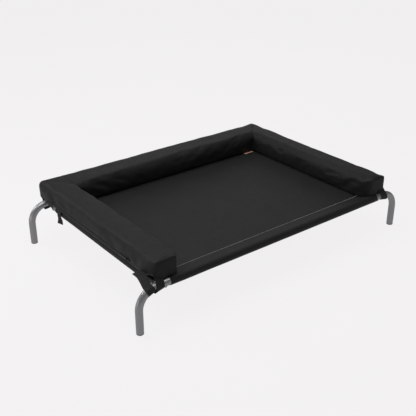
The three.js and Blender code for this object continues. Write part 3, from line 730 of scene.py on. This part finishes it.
def make_mat():
    half_x = side_x - SEAM_INSET + SEAM_FLAT - 1 * MM
    half = half_y - SEAM_INSET + SEAM_FLAT - 1 * MM
    notch = 22 * MM + SEAM_FLAT
    step = 6 * MM
    rows = int(2 * half / step) + 1
    columns = int(2 * half_x / step) + 1
    points, weave = [], []
    for layer in (1, -1):
        for i in range(rows):
            y = -half + 2 * half * i / (rows - 1)
            inside = half - abs(y)
            bite = math.sqrt(max(0.0, notch**2 - inside**2)) if inside < notch else 0
            for j in range(columns):
                x = (half_x - bite) * (-1 + 2 * j / (columns - 1))
                z = rail_z + layer * FABRIC / 2 + mat_lift(x, centre_y + y)
                points.append((x, centre_y + y, z))
                weave.append((x, y))
    faces = layered_faces(rows, columns)
    panel = keep_cloth("mat_panel_cloth", points, faces, weave, "mat_cloth", "mat_panel", sharp=60)

    long_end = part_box("front_sleeve")[1].x
    side_end = (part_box("left_sleeve")[1].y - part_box("left_sleeve")[0].y) / 2
    places = {
        "front_sleeve": (long_end, lambda a, i, u: (a, front_y + i, rail_z + u)),
        "back_sleeve": (long_end, lambda a, i, u: (a, back_y - i, rail_z + u)),
        "left_sleeve": (side_end, lambda a, i, u: (-side_x + i, centre_y + a, rail_z + u)),
        "right_sleeve": (side_end, lambda a, i, u: (side_x - i, centre_y + a, rail_z + u)),
    }
    for name, (half_length, place) in places.items():
        piece, girth = make_sleeve(name, half_length, place)

    pile = Pile()
    inset = SEAM_INSET - 4.5 * MM
    height = FABRIC * 1.5 + 0.15 * MM
    for name, (half_length, place) in places.items():
        reach = half_length - 12 * MM
        line = lambda along, place=place: Vector(place(along, inset, height))
        add_stitches(pile, line, -reach, reach)
    pile.keep("mat_stitching", "mat_cloth", sharp=60, finish="thread")


STITCH_LENGTH = 4.4 * MM
STITCH_GAP = 0.8 * MM
STITCH_R = 0.95 * MM
# One stitch, as (share of its length, share of its radius, rise in radii).
STITCH = [(0, 0.35, -1.0), (0.12, 0.85, -0.2), (0.5, 1.0, 0.1), (0.88, 0.85, -0.2), (1, 0.35, -1.0)]


def add_stitches(pile, where, start, end):
    """A level row of lockstitches: short threads that dip into the cloth at each end."""
    pitch = STITCH_LENGTH + STITCH_GAP
    for k in range(int((end - start) / pitch)):
        a = start + k * pitch
        p, q = where(a), where(a + STITCH_LENGTH)
        way = (q - p).normalized()
        side = way.cross(Vector((0, 0, 1)))
        side.normalize()
        up = side.cross(way)
        rings = []
        for t, share, dip in STITCH:
            rings.append((p.lerp(q, t) + up * (STITCH_R * dip), side, up, STITCH_R * share))
        pile.add(*swept(rings, 6))


# ---------------------------------------------------------------- bolster

SIDE_CELLS = 14
TOP_CELLS = 18
OUTER_TOP = SIDE_CELLS + TOP_CELLS  # where the outer face starts in a ring, counted from the inner foot
OUTER_FOOT = OUTER_TOP + SIDE_CELLS
ARM_WIDTH = 105 * MM
BACK_WIDTH = 128 * MM
arm_inner = cover_high.x - ARM_WIDTH
back_inner = cover_high.y - BACK_WIDTH
arm_front = cover_low.y
foot_z = cover_low.z
top_z = cover_high.z
ZIP_Z = (zip_low.z + zip_high.z) / 2
LIP_DEPTH = 1.2 * MM  # the zip's lips lie this far behind the cover's face
GAP_DEPTH = 3.2 * MM  # bottom of the gap between them


FILLET_STEPS = 10


def filleted(corner_list):
    """Closed line with rounded corners. Returns its points and the index of the middle of each corner."""
    points, middles = [], []
    count = len(corner_list)
    for k, (x, y, radius) in enumerate(corner_list):
        here = np.array((x, y))
        before = np.array(corner_list[k - 1][:2]) - here
        after = np.array(corner_list[(k + 1) % count][:2]) - here
        before /= np.linalg.norm(before)
        after /= np.linalg.norm(after)
        half = math.acos(max(-1, min(1, float(before @ after)))) / 2
        reach = radius / math.tan(half)
        centre = here + (before + after) / np.linalg.norm(before + after) * radius / math.sin(half)
        first = here + before * reach - centre
        last = here + after * reach - centre
        turn = math.atan2(first[0] * last[1] - first[1] * last[0], float(first @ last))
        middles.append(len(points) + FILLET_STEPS // 2)
        for i in range(FILLET_STEPS + 1):
            a = turn * i / FILLET_STEPS
            c, s = math.cos(a), math.sin(a)
            points.append(centre + np.array((first[0] * c - first[1] * s, first[0] * s + first[1] * c)))
    return np.array(points), middles


def resampled(line, fractions):
    length = distances(line)
    at = np.array(fractions) * length[-1]
    return np.stack([np.interp(at, length, line[:, k]) for k in range(line.shape[1])], axis=1)


def bolster_section(inner_r=22 * MM, outer_r=15 * MM, inset=0.0):
    """The bolster's section as (outward from the inner face, up), from the inner foot up, over and down."""
    w, h, i = ARM_WIDTH, top_z, inset
    outline = [
        (2 * MM + i, foot_z + i, 8 * MM),
        (5 * MM + i, h - i, inner_r),
        (w - i, h - i, outer_r),
        (w - 1 * MM - i, 157 * MM + i, 4.5 * MM),
        (93 * MM - i, 162.5 * MM + i, 4 * MM),
        (78 * MM - i * 0.4, 162.5 * MM + i, 4 * MM),
        (32 * MM, foot_z + i, 20 * MM),
    ]
    line, middles = filleted(outline)
    inner_foot, inner_top, outer_top, outer_foot = middles[:4]
    up = resampled(line[inner_foot : inner_top + 1], np.linspace(0, 1, SIDE_CELLS + 1))
    over = resampled(line[inner_top : outer_top + 1], np.linspace(0, 1, TOP_CELLS + 1))
    down_line = line[outer_top : outer_foot + 1]
    high, low = down_line[0][1], down_line[-1][1]
    by_the_zip = [ZIP_Z / MM + rise for rise in (6, 3.9, 1.6, 0, -1.6, -3.9, -6)]
    levels = [212, 202, 193, 186.5] + by_the_zip + [165, 161]
    if inset:
        levels = np.linspace(high, low, SIDE_CELLS + 1)[1:-1] / MM
    levels = [high] + [v * MM for v in levels] + [low]
    down = np.stack([np.interp(levels[::-1], down_line[::-1, 1], down_line[::-1, 0])[::-1], levels], axis=1)
    under_line = np.vstack([line[outer_foot:], line[: inner_foot + 1]])
    under = resampled(under_line, np.linspace(0, 1, TOP_CELLS + 1))
    return np.vstack([up[:-1], over[:-1], down[:-1], under[:-1]])


SOFT = bolster_section()
LEFT_ARM = bolster_section(inner_r=9 * MM)  # its inner top edge is a seam
ARM_END = bolster_section(inner_r=7 * MM, outer_r=11 * MM)
END_REACH = 36 * MM
# How crisp the seam is along each zone, as (at its start, loss over its length).
CRISPNESS = {"arm": (1, 0), "arm_fan": (1, 0.5), "corner": (0.5, 0.3), "back_fan": (0.2, 0.2), "back": (0, 0)}


def section_at(station, is_left):
    """The section at one station: crisp along the left arm's seam and at the sewn ends, soft elsewhere."""
    zone, t = station
    start, loss = CRISPNESS[zone]
    crisp = start - loss * t
    section = SOFT + (LEFT_ARM - SOFT) * (crisp if is_left else 0.0)
    if zone == "arm":
        away = t * (back_inner - FAN - arm_front)
        section = section + (ARM_END - section) * (1 - smoothstep(0, END_REACH, away))
    return section


FAN = 128 * MM  # length over which the rings turn from square to the mitre
CORNER_STEPS = 6


def plan_point(o, station):
    """Where a section point, o outside the inner face, stands in plan at one station of the left half."""
    zone, t = station
    outward = o * BACK_WIDTH / ARM_WIDTH
    x_corner, y_corner = -(arm_inner + o), back_inner + outward
    rho = (3 + 8 * (max(o, 0) / ARM_WIDTH) ** 2) * MM
    if zone == "arm":
        return x_corner, arm_front + (back_inner - FAN - arm_front) * t
    if zone == "arm_fan":
        y0 = back_inner - FAN
        return x_corner, y0 + (y_corner - rho - y0) * t
    if zone == "corner":
        angle = math.pi / 2 * t
        return x_corner + rho - rho * math.cos(angle), y_corner - rho + rho * math.sin(angle)
    x0, x1 = x_corner + rho, -(arm_inner - FAN)
    if zone == "back_fan":
        return x0 + (x1 - x0) * t, y_corner
    return x1 * (1 - t), y_corner


def half_stations():
    """Rings of the left half, from its end round to the middle of the back, as (zone, share of the zone)."""
    arm = back_inner - FAN - arm_front
    spacing = 10 * MM
    count = round(arm / spacing)
    close = [0, 2.5 * MM / arm, 5.5 * MM / arm]
    stations = [("arm", t) for t in close + [k / count for k in range(1, count)]]
    back_count = round((arm_inner - FAN) / spacing)
    steps = {"arm_fan": 16, "corner": CORNER_STEPS, "back_fan": 15, "back": back_count}
    for zone, count in steps.items():
        stations += [(zone, k / count) for k in range(count)]
    return stations


def tapered(o, away):
    """Draws the section in over the last stretch of an arm, towards its sewn end panel."""
    pull = max(0.0, 1 - away / (48 * MM)) ** 3
    share = o / ARM_WIDTH
    return o + pull * (19 * MM * (1 - share) - 7 * MM * share)


def hitched(o, z, away):
    """Lifts the left arm's end off its strap at the outer corner and off the mat at the inner one."""
    heights = np.interp(away, np.array([0, 19, 31, 42, 60]) * MM, np.array([172, 172, 169, 161, 157]) * MM)
    low = 157 * MM
    rise = (float(heights) - low) * smoothstep(ARM_WIDTH - 32 * MM, ARM_WIDTH - 10 * MM, o)
    rise += 11 * MM * (1 - smoothstep(0, 34 * MM, away)) * (1 - smoothstep(40 * MM, 75 * MM, o))
    return z + rise * (top_z - z) / (top_z - low)


def zip_depth(x, y, z):
    """How far the zip draws the left outer face in: two low lips with a narrow gap between them."""
    if x > 0:
        return 0.0
    start = smoothstep(zip_low.y - 14 * MM, zip_low.y - 6 * MM, y)
    end = smoothstep(zip_high.y + 6 * MM, zip_high.y + 14 * MM, y)
    levels = np.array([0, 1.6, 3.9, 6.0]) * MM
    depth = np.interp(abs(z - ZIP_Z), levels, [GAP_DEPTH, LIP_DEPTH, LIP_DEPTH, 0.0])
    return float(depth) * start * (1 - end)


def coons(bottom, right, top, left):
    """Grid of points that fills four boundary rows. Rows run bottom to top, columns left to right."""
    bottom, right, top, left = (np.array(side) for side in (bottom, right, top, left))
    rows, columns = len(left), len(bottom)
    v = np.linspace(0, 1, rows)[:, None, None]
    u = np.linspace(0, 1, columns)[None, :, None]
    ruled_v = (1 - v) * bottom[None, :] + v * top[None, :]
    ruled_u = (1 - u) * left[:, None] + u * right[:, None]
    corner_mix = (1 - u) * (1 - v) * bottom[0] + u * (1 - v) * bottom[-1]
    corner_mix = corner_mix + (1 - u) * v * top[0] + u * v * top[-1]
    return ruled_v + ruled_u - corner_mix


def bolster_shell():
    """Points, faces, cloth coordinates and the layout of the rings of the cover before it is filled."""
    count = len(SOFT)
    girth = distances(SOFT)
    stations = half_stations()
    middle = len(stations)
    total = 2 * middle + 1
    points = np.zeros((total, count, 3))
    weave = np.zeros((total, count, 2))
    for i in range(total):
        mirrored = i > middle
        station = stations[i] if i < middle else ("back", 1.0) if i == middle else stations[total - 1 - i]
        for j, (o, z) in enumerate(section_at(station, not mirrored)):
            if station[0] == "arm":
                away = station[1] * (back_inner - FAN - arm_front)
                if not mirrored:
                    z = hitched(o, z, away)
                o = tapered(o, away)
            x, y = plan_point(o, station)
            points[i, j] = (-x if mirrored else x, y, z)
            run = y if station[0] in ("arm", "arm_fan") else back_inner + x + arm_inner
            weave[i, j] = (run, girth[j])
    faces = grid_faces(total, count, close_columns=True)
    flat_points = points.reshape(-1, 3).tolist()
    flat_weave = weave.reshape(-1, 2).tolist()
    for ring in (0, (total - 1) * count):
        index = lambda k: ring + k % count
        left = [index(k) for k in range(SIDE_CELLS + 1)]
        top = [index(SIDE_CELLS + k) for k in range(TOP_CELLS + 1)]
        right = [index(OUTER_FOOT - k) for k in range(SIDE_CELLS + 1)]
        bottom = [index(OUTER_FOOT + TOP_CELLS - k) for k in range(TOP_CELLS + 1)]
        at = lambda ids: [flat_points[k] for k in ids]
        patch = coons(at(bottom), at(right), at(top), at(left))
        ids = -np.ones((SIDE_CELLS + 1, TOP_CELLS + 1), int)
        ids[0], ids[-1], ids[:, 0], ids[:, -1] = bottom, top, left, right
        for r in range(1, SIDE_CELLS):
            for c in range(1, TOP_CELLS):
                ids[r, c] = len(flat_points)
                u, v = c / TOP_CELLS, r / SIDE_CELLS
                x, y, z = patch[r, c]
                bulge = 1.5 * MM * (16 * u * (1 - u) * v * (1 - v)) ** 0.6
                flat_points.append([x, y - bulge, z])
                flat_weave.append([x, z])
        for r in range(SIDE_CELLS):
            for c in range(TOP_CELLS):
                faces.append((ids[r, c], ids[r, c + 1], ids[r + 1, c + 1], ids[r + 1, c]))
    rings = {"count": count, "total": total, "middle": middle, "stations": stations}
    return np.array(flat_points), faces, flat_weave, rings


FILL_FRAMES = 20


def fill_with_pressure(piece, hold, pressure, slack, cap):
    """Lets the cover swell as cloth, held where `hold` weights it, and limits how far it moves."""
    before = positions(piece)
    group = piece.vertex_groups.new(name="hold")
    for index, weight in enumerate(hold):
        if weight > 0:
            group.add([index], weight, "REPLACE")
    cloth = piece.modifiers.new("cloth", "CLOTH")
    settings = cloth.settings
    settings.quality = 6
    settings.mass = 0.3
    settings.use_pressure = True
    settings.uniform_pressure_force = pressure
    settings.shrink_min = -slack
    settings.tension_stiffness = 25
    settings.compression_stiffness = 25
    settings.shear_stiffness = 12
    settings.bending_stiffness = 0.6
    settings.air_damping = 2.0
    settings.vertex_group_mass = "hold"
    settings.pin_stiffness = 1.0
    settings.effector_weights.gravity = 0
    cloth.collision_settings.use_collision = False
    cloth.point_cache.frame_start = 1
    cloth.point_cache.frame_end = FILL_FRAMES
    scene = bpy.context.scene
    for number in range(1, FILL_FRAMES + 1):
        scene.frame_set(number)
    graph = bpy.context.evaluated_depsgraph_get()
    after = positions(piece.evaluated_get(graph))
    piece.modifiers.remove(cloth)
    piece.vertex_groups.remove(group)
    scene.frame_set(1)
    move = after - before
    far = np.linalg.norm(move, axis=1)
    move *= np.minimum(1, cap / np.maximum(far, 1e-9))[:, None]
    set_positions(piece, before + move)


def positions(piece):
    return np.array([v.co for v in piece.data.vertices])


def set_positions(piece, points):
    piece.data.vertices.foreach_set("co", points.astype(np.float32).ravel())
    piece.data.update()


def vertex_normals(piece):
    out = np.zeros(len(piece.data.vertices) * 3, np.float32)
    piece.data.vertex_normals.foreach_get("vector", out)
    return out.reshape(-1, 3)


def make_bolster():
    points, faces, weave, rings = bolster_shell()
    piece = build("bolster_cloth", points, faces, "cover_cloth", sharp=180)
    set_weave(piece, weave)
    face_out(piece, merge=False)

    count, total, middle = rings["count"], rings["total"], rings["middle"]
    zones = [s[0] for s in rings["stations"]]
    mitre = zones.index("corner") + CORNER_STEPS // 2
    seam_rings = (mitre, total - 1 - mitre)
    hold = np.zeros(len(points))
    for i in range(total):
        for j in range(count):
            k = i * count + j
            if j >= OUTER_FOOT - 1 or j <= 1:
                hold[k] = 1.0
            x, y, z = points[k]
            if i in (*seam_rings, 0, total - 1):
                hold[k] = max(hold[k], 0.8)
            if i < middle and j > OUTER_TOP and zip_depth(x, y, z) > 0:
                hold[k] = 1.0
    fill_with_pressure(piece, hold, pressure=0.8, slack=0.007, cap=3.2 * MM)
    shape_cover(piece, points, rings, seam_rings)
    crease_ends(piece, count, total)
    refine(piece)
    piece.data.set_sharp_from_angle(angle=math.radians(50))
    keep(piece, ["bolster_cover"])
    surface = surface_tree(piece)
    make_welts(surface)
    make_hem_folds()
    make_foam()
    return surface


def surface_tree(piece):
    """Search tree of a piece's surface, for laying other pieces on it."""
    points = [v.co for v in piece.data.vertices]
    return BVHTree.FromPolygons(points, [p.vertices for p in piece.data.polygons])


def laid_on(surface, path, way):
    """Points of a path carried along `way` onto the surface, with the normals there."""
    way = Vector(way)
    laid = []
    for at in path:
        outside = Vector(at) - way * 0.2
        spot, normal = surface.ray_cast(outside, way)[:2]
        if spot:
            laid.append((spot, normal if normal.dot(way) < 0 else -normal))
    return laid


def add_welt(pile, laid, radius):
    """A half-sunk seam cord along points laid on the cover."""
    rings = []
    for k, (at, normal) in enumerate(laid):
        run = laid[min(k + 1, len(laid) - 1)][0] - laid[max(k - 1, 0)][0]
        side = run.cross(normal).normalized()
        rings.append((at + normal * radius * 0.1, side, side.cross(run).normalized(), radius))
    pile.add(*swept(rings, 8))


def make_welts(surface):
    """The seams that show: the left arm's inner top edge, the right mitre and each end's top edge."""
    pile = Pile()
    step = 6 * MM
    edge = arm_inner + 9 * MM
    down, inwards = (0, 0, -1), (0, -1, 0)
    left = [(-edge, y, top_z) for y in np.arange(arm_front + 20 * MM, cover_high.y - 6 * MM, step)]
    add_welt(pile, laid_on(surface, left, down), 0.9 * MM)
    back = [(-edge, cover_high.y, z) for z in np.arange(208 * MM, 166 * MM, -step)]
    add_welt(pile, laid_on(surface, back, inwards), 0.9 * MM)
    outward = np.arange(10, 96, 5) * MM
    mitre = [(arm_inner + o, back_inner + o * BACK_WIDTH / ARM_WIDTH, top_z) for o in outward]
    add_welt(pile, laid_on(surface, mitre, down), 0.8 * MM)
    for sign in SIDES.values():
        border = [(sign * (arm_inner + o), arm_front, top_z - 4 * MM) for o in np.arange(22, 95, 4) * MM]
        add_welt(pile, laid_on(surface, border, (0, 1, 0)), 0.9 * MM)
    pile.keep("seam_welts", "cover_cloth", sharp=60)


def crease_ends(piece, count, total):
    """Keeps the sewn edge round each end panel sharp when the cover is subdivided."""
    rows = {k: 0 for k in range(count)} | {(total - 1) * count + k: total - 1 for k in range(count)}
    crease = piece.data.attributes.new("crease_edge", "FLOAT", "EDGE")
    for edge in piece.data.edges:
        a, b = edge.vertices
        if a in rows and rows[a] == rows.get(b):
            crease.data[edge.index].value = 0.85


def shape_cover(piece, rest, rings, seam_rings):
    """Adds what sewing does to the filled cover: waves by the top edges, seam creases, the zip's recess."""
    count, total = rings["count"], rings["total"]
    now = positions(piece)
    normal = vertex_normals(piece)
    for i in range(total):
        for j in range(count):
            k = i * count + j
            x, y, z = rest[k]
            along = y if abs(x) > arm_inner and y < back_inner else x + (3.0 if x > 0 else 1.5)
            loose = 1.0 if x < -arm_inner and y < back_inner else 0.22
            near_edge = math.exp(-((j - OUTER_TOP - 1) / 4.0) ** 2)
            near_edge += 0.4 * math.exp(-((j - SIDE_CELLS) / 3.0) ** 2)
            long_wave = 1.6 * MM * wave(along, j * 0.006, 3, size=60 * MM)
            short_wave = 1.3 * MM * wave(along, j * 0.010, 4, size=24 * MM)
            move = near_edge * loose * (long_wave + short_wave)
            soft = 1.0 if 2 < j < OUTER_FOOT - 2 else 0.0
            move += soft * (0.7 * MM * wave(x, y, z, size=110 * MM) + 0.5 * MM * wave(x, y, z, size=38 * MM))
            if i == seam_rings[1]:
                move -= 2.2 * MM * soft
            now[k] += normal[k] * move
            deep = zip_depth(x, y, z) if j > OUTER_TOP else 0.0
            if deep > 0:
                now[k][0] = rest[k][0] + deep
    set_positions(piece, now)


def refine(piece):
    """One applied level of subdivision."""
    modifier = piece.modifiers.new("finer", "SUBSURF")
    modifier.levels = modifier.render_levels = 1
    graph = bpy.context.evaluated_depsgraph_get()
    finer = bpy.data.meshes.new_from_object(piece.evaluated_get(graph))
    piece.modifiers.remove(modifier)
    piece.data = finer


def make_hem_folds():
    """A folded edge of cloth that hangs under each end panel."""
    pile = Pile()
    columns = 15
    for sign in SIDES.values():
        points = []
        for k in range(columns):
            t = k / (columns - 1)
            x = arm_inner + (23 + 57 * t) * MM
            drop = 147 * MM + 13 * MM * max(0.0, t - 0.45) ** 1.5 + 1.0 * MM * wave(x, sign, size=18 * MM)
            y = arm_front + (2.5 + 1.2 * wave(x, sign + 3, size=25 * MM)) * MM
            top, lip = 170 * MM, drop + 1 * MM
            for dy, z in ((0.9, top), (1.1, lip), (0, drop), (-1.1, lip), (-0.9, top)):
                points.append((sign * x, y - dy * MM, z))
        pile.add(points, block_faces(columns, 5))
    pile.keep("hem_folds", "cover_cloth", sharp=60)


def make_foam():
    """Three foam blocks inside the cover, drawn in from it on every side."""
    section = bolster_section(inset=12 * MM)
    front_gap, back_gap = 52 * MM, 24 * MM
    along = np.linspace(arm_front + front_gap, cover_high.y - back_gap, 6)
    across = np.linspace(-arm_inner, arm_inner, 5)
    scale = BACK_WIDTH / ARM_WIDTH
    blocks = {}
    for side, sign_x in SIDES.items():
        blocks[side] = [(sign_x * (arm_inner + o), y, z) for y in along for o, z in section]
    blocks["back"] = [(x, back_inner + o * scale, z) for x in across for o, z in section]
    for place, points in blocks.items():
        shell = points, block_faces(len(points) // len(section), len(section))
        block = keep_shell(f"foam_block_{place}", shell, "foam", f"foam_core_{place}", 50)


# ---------------------------------------------------------------- straps

STRAP_WIDTH = 28 * MM
STRAP_THICK = 1.4 * MM
STRAP_LIFT = 0.3 * MM  # gap between a side strap and the cover under it


def catmull(points, steps=8):
    """Smooth line through points, with `steps` pieces between neighbours."""
    points = [Vector(p) for p in points]
    points = [points[0] * 2 - points[1]] + points + [points[-1] * 2 - points[-2]]
    line = []
    for k in range(1, len(points) - 2):
        a, b, c, d = points[k - 1 : k + 3]
        for i in range(steps):
            t = i / steps
            square, cube = 2 * a - 5 * b + 4 * c - d, 3 * b - a - 3 * c + d
            line.append(0.5 * ((2 * b) + (c - a) * t + square * t**2 + cube * t**3))
    line.append(points[-2])
    return line


def strap_points(stations):
    """Closed flat webbing with rounded edges, as rings across it."""
    line = catmull([s[0] for s in stations])
    across = catmull([s[1] for s in stations])
    half, t = STRAP_WIDTH / 2, STRAP_THICK / 2
    columns = 9
    edge = [(half * (-1 + 2 * c / (columns - 1)), t) for c in range(columns)]
    ring = edge + [(half + t * 0.6, 0)] + [(a, -b) for a, b in edge[::-1]] + [(-half - t * 0.6, 0)]
    points, weave = [], []
    run = 0.0
    for k, at in enumerate(line):
        way = line[min(k + 1, len(line) - 1)] - line[max(k - 1, 0)]
        way.normalize()
        wide = (across[k] - way * across[k].dot(way)).normalized()
        up = way.cross(wide)
        if k:
            run += (at - line[k - 1]).length
        for a, b in ring:
            points.append(at + wide * a + up * b)
            weave.append((run, a))
    return points, weave, len(line), len(ring)


def pushed_out(points, line, radius):
    """Moves points that lie inside a tube out to its surface."""
    line = np.array([tuple(p) for p in line])
    out = []
    for p in points:
        p = np.array(p)
        start, end = line[:-1], line[1:]
        way = end - start
        t = np.clip(((p - start) * way).sum(1) / (way * way).sum(1), 0, 1)
        near = start + way * t[:, None]
        gap = np.linalg.norm(near - p, axis=1)
        k = int(gap.argmin())
        if 1e-9 < gap[k] < radius:
            p = near[k] + (p - near[k]) * radius / gap[k]
        out.append(tuple(p))
    return out


def clear_of_cover(points, count, cover):
    """Shifts each ring of a side strap outwards until it clears the cover's face."""
    out = []
    for start in range(0, len(points), count):
        ring = points[start : start + count]
        shift = 0.0
        for x, y, z in ring:
            way = math.copysign(1, x)
            hit = cover.ray_cast(Vector((way * 0.7, y, z)), Vector((-way, 0, 0)), 0.25)[0]
            if hit and abs(x) < abs(hit.x) + STRAP_LIFT:
                shift = max(shift, abs(hit.x) + STRAP_LIFT - abs(x))
        out += [(x + math.copysign(shift, x), y, z) for x, y, z in ring]
    return out


def make_strap(name, node, stations, sign_x, sign_y, cover=None):
    points, weave, rows, count = strap_points(stations)
    leg = [at + Vector((0, back_y, 0)) for at, _ in leg_centreline()] + [Vector((0.40, back_y, rail_z))]
    side = [Vector((side_x, centre_y + side_rail_end + 4 * MM, rail_z)), Vector((side_x, centre_y, rail_z))]
    points = pushed_out(points, leg, tube_r + STRAP_THICK * 0.5)
    points = pushed_out(points, side, tube_r + 1.8 * MM)
    points = mirror(points, sign_x, sign_y)
    if cover:
        points = clear_of_cover(points, count, cover)
    faces = block_faces(rows, count)
    keep_cloth(name, points, faces, weave, "webbing", node, sharp=50)


def make_straps(cover):
    """Stations are (centre, width direction), in millimetres from the bed's middle, for the +X, +Y corner."""
    def here(list_):
        return [(Vector((x * MM, y * MM + centre_y, z * MM)), Vector(across)) for (x, y, z), across in list_]

    bend, hung, level, turned = (0.923, 0, -0.385), (0, -1, 0), (1, 0, 0), (1, 0.15, -0.15)
    side = here([
        ((541.0, 290, 170.0), (0.90, 0.30, -0.30)), ((544.5, 302, 169.5), (0.92, 0.28, -0.25)),
        ((548.0, 322, 167.0), (0.93, 0.15, -0.28)), ((551.5, 340, 163.0), (0.93, 0.05, -0.32)),
        ((554.2, 353, 158.6), (0.92, 0, -0.36)), ((555.3, 362, 155.2), bend), ((554.1, 373.8, 151.6), bend),
        ((550.2, 378.2, 142), bend), ((546.4, 373.9, 132.7), bend), ((544.8, 364, 128.8), bend),
    ])
    loose = here([
        ((524, 250, 161), hung), ((529.5, 250, 159.5), hung), ((532, 249, 154), hung),
        ((532.4, 248, 140), hung), ((530.4, 247, 125), (-0.1, -1, 0)), ((532.6, 246, 110), (-0.25, -1, 0)),
    ])
    rail = here([
        ((518, 262, 161), hung), ((526, 262, 159.3), hung), ((530, 262, 153.5), hung),
        ((530.8, 262, 145), hung), ((527.4, 262, 136), hung), ((519, 262, 131.1), hung),
        ((510, 262, 131.4), hung),
    ])
    wrap = [
        ((517.5, 378, 149), level), ((519.8, 376.8, 139.5), (1, 0.1, -0.1)),
        ((521.6, 371.6, 131.8), turned), ((522.2, 362, 129.6), turned), ((522.4, 354, 130.2), turned),
    ]
    front = here([((514, 357, 190), level), ((514.5, 360, 174), level), ((516, 372, 160), level)] + wrap)
    back = here([((515, 396, 161), level), ((516, 387, 160), level)] + wrap)
    free = {"back_left": loose, "front_right": rail}
    for corner, sign_x, sign_y in corners():
        name, node = f"side_webbing_{corner}", f"side_strap_{corner}"
        if corner in free:
            make_strap(name, node, free[corner], sign_x, sign_y)
        else:
            make_strap(name, node, side, sign_x, sign_y, cover)
        stations = front if sign_y < 0 else back
        make_strap(f"end_webbing_{corner}", f"end_strap_{corner}", stations, sign_x, sign_y)


# ---------------------------------------------------------------- zip and tag


def bevelled(node, width, finish):
    """Gives a CAD node fine rounded edges and its finish."""
    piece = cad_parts[node]
    piece.data.materials.clear()
    piece.data.materials.append(MATERIALS[finish])
    modifier = piece.modifiers.new("arris", "BEVEL")
    modifier.width = width
    modifier.segments = 2
    modifier.limit_method = "ANGLE"
    modifier.angle_limit = math.radians(40)


def make_zip():
    for node, width in {"stop_front": 0.3, "stop_back": 0.3, "slider": 0.2, "pull": 0.25}.items():
        bevelled(f"zip_{node}", width * MM, "zip_plastic")
    for node in ("zip_tape_upper", "zip_tape_lower"):
        bevelled(node, 0.15 * MM, "webbing")
    pile = Pile()
    pitch = 2.4 * MM
    count = int((zip_high.y - zip_low.y) / pitch)
    middle_x = cover_low.x + 2.9 * MM
    for k in range(count):
        for sign in (-1, 1):
            y = zip_low.y + (k + 0.5 + 0.25 * sign) * pitch
            root, tip = sign * 2.1 * MM, -sign * 0.9 * MM
            rings = []
            for t, share in ((0, 0.7), (0.15, 1), (0.7, 0.95), (0.9, 1.1), (1, 0.6)):
                at = Vector((middle_x, y, ZIP_Z + root + (tip - root) * t))
                rings.append((at, Vector((share, 0, 0)), Vector((0, share * 0.62, 0)), 0.85 * MM))
            pile.add(*swept(rings, 8))
    pile.keep("zip_teeth", "zip_plastic", ["zip_chain"], sharp=50)


def make_tag():
    """A plain folded ribbon sewn into the back bolster's foot."""
    width, depth = tag_high.x - tag_low.x, tag_high.y - tag_low.y
    rows, columns = 19, 9
    points, weave = [], []
    for layer in (1, -1):
        for i in range(rows):
            for j in range(columns):
                u, v = i / (rows - 1), j / (columns - 1)
                lift = 1.6 * MM * (1 - v) * math.sin(math.pi * u) + 0.8 * MM * (1 - v)
                z = (tag_low.z + tag_high.z) / 2 + lift + layer * 0.35 * MM
                points.append((tag_low.x + width * u, tag_low.y + depth * v, z))
                weave.append((width * u, depth * v))
    faces = layered_faces(rows, columns)
    keep_cloth("plain_tag", points, faces, weave, "tag_cloth", "cloth_tag", sharp=60)


# ---------------------------------------------------------------- assembly

make_studio()
make_materials()
make_frame()
make_mat()
cover = make_bolster()
make_straps(cover)
make_zip()
make_tag()
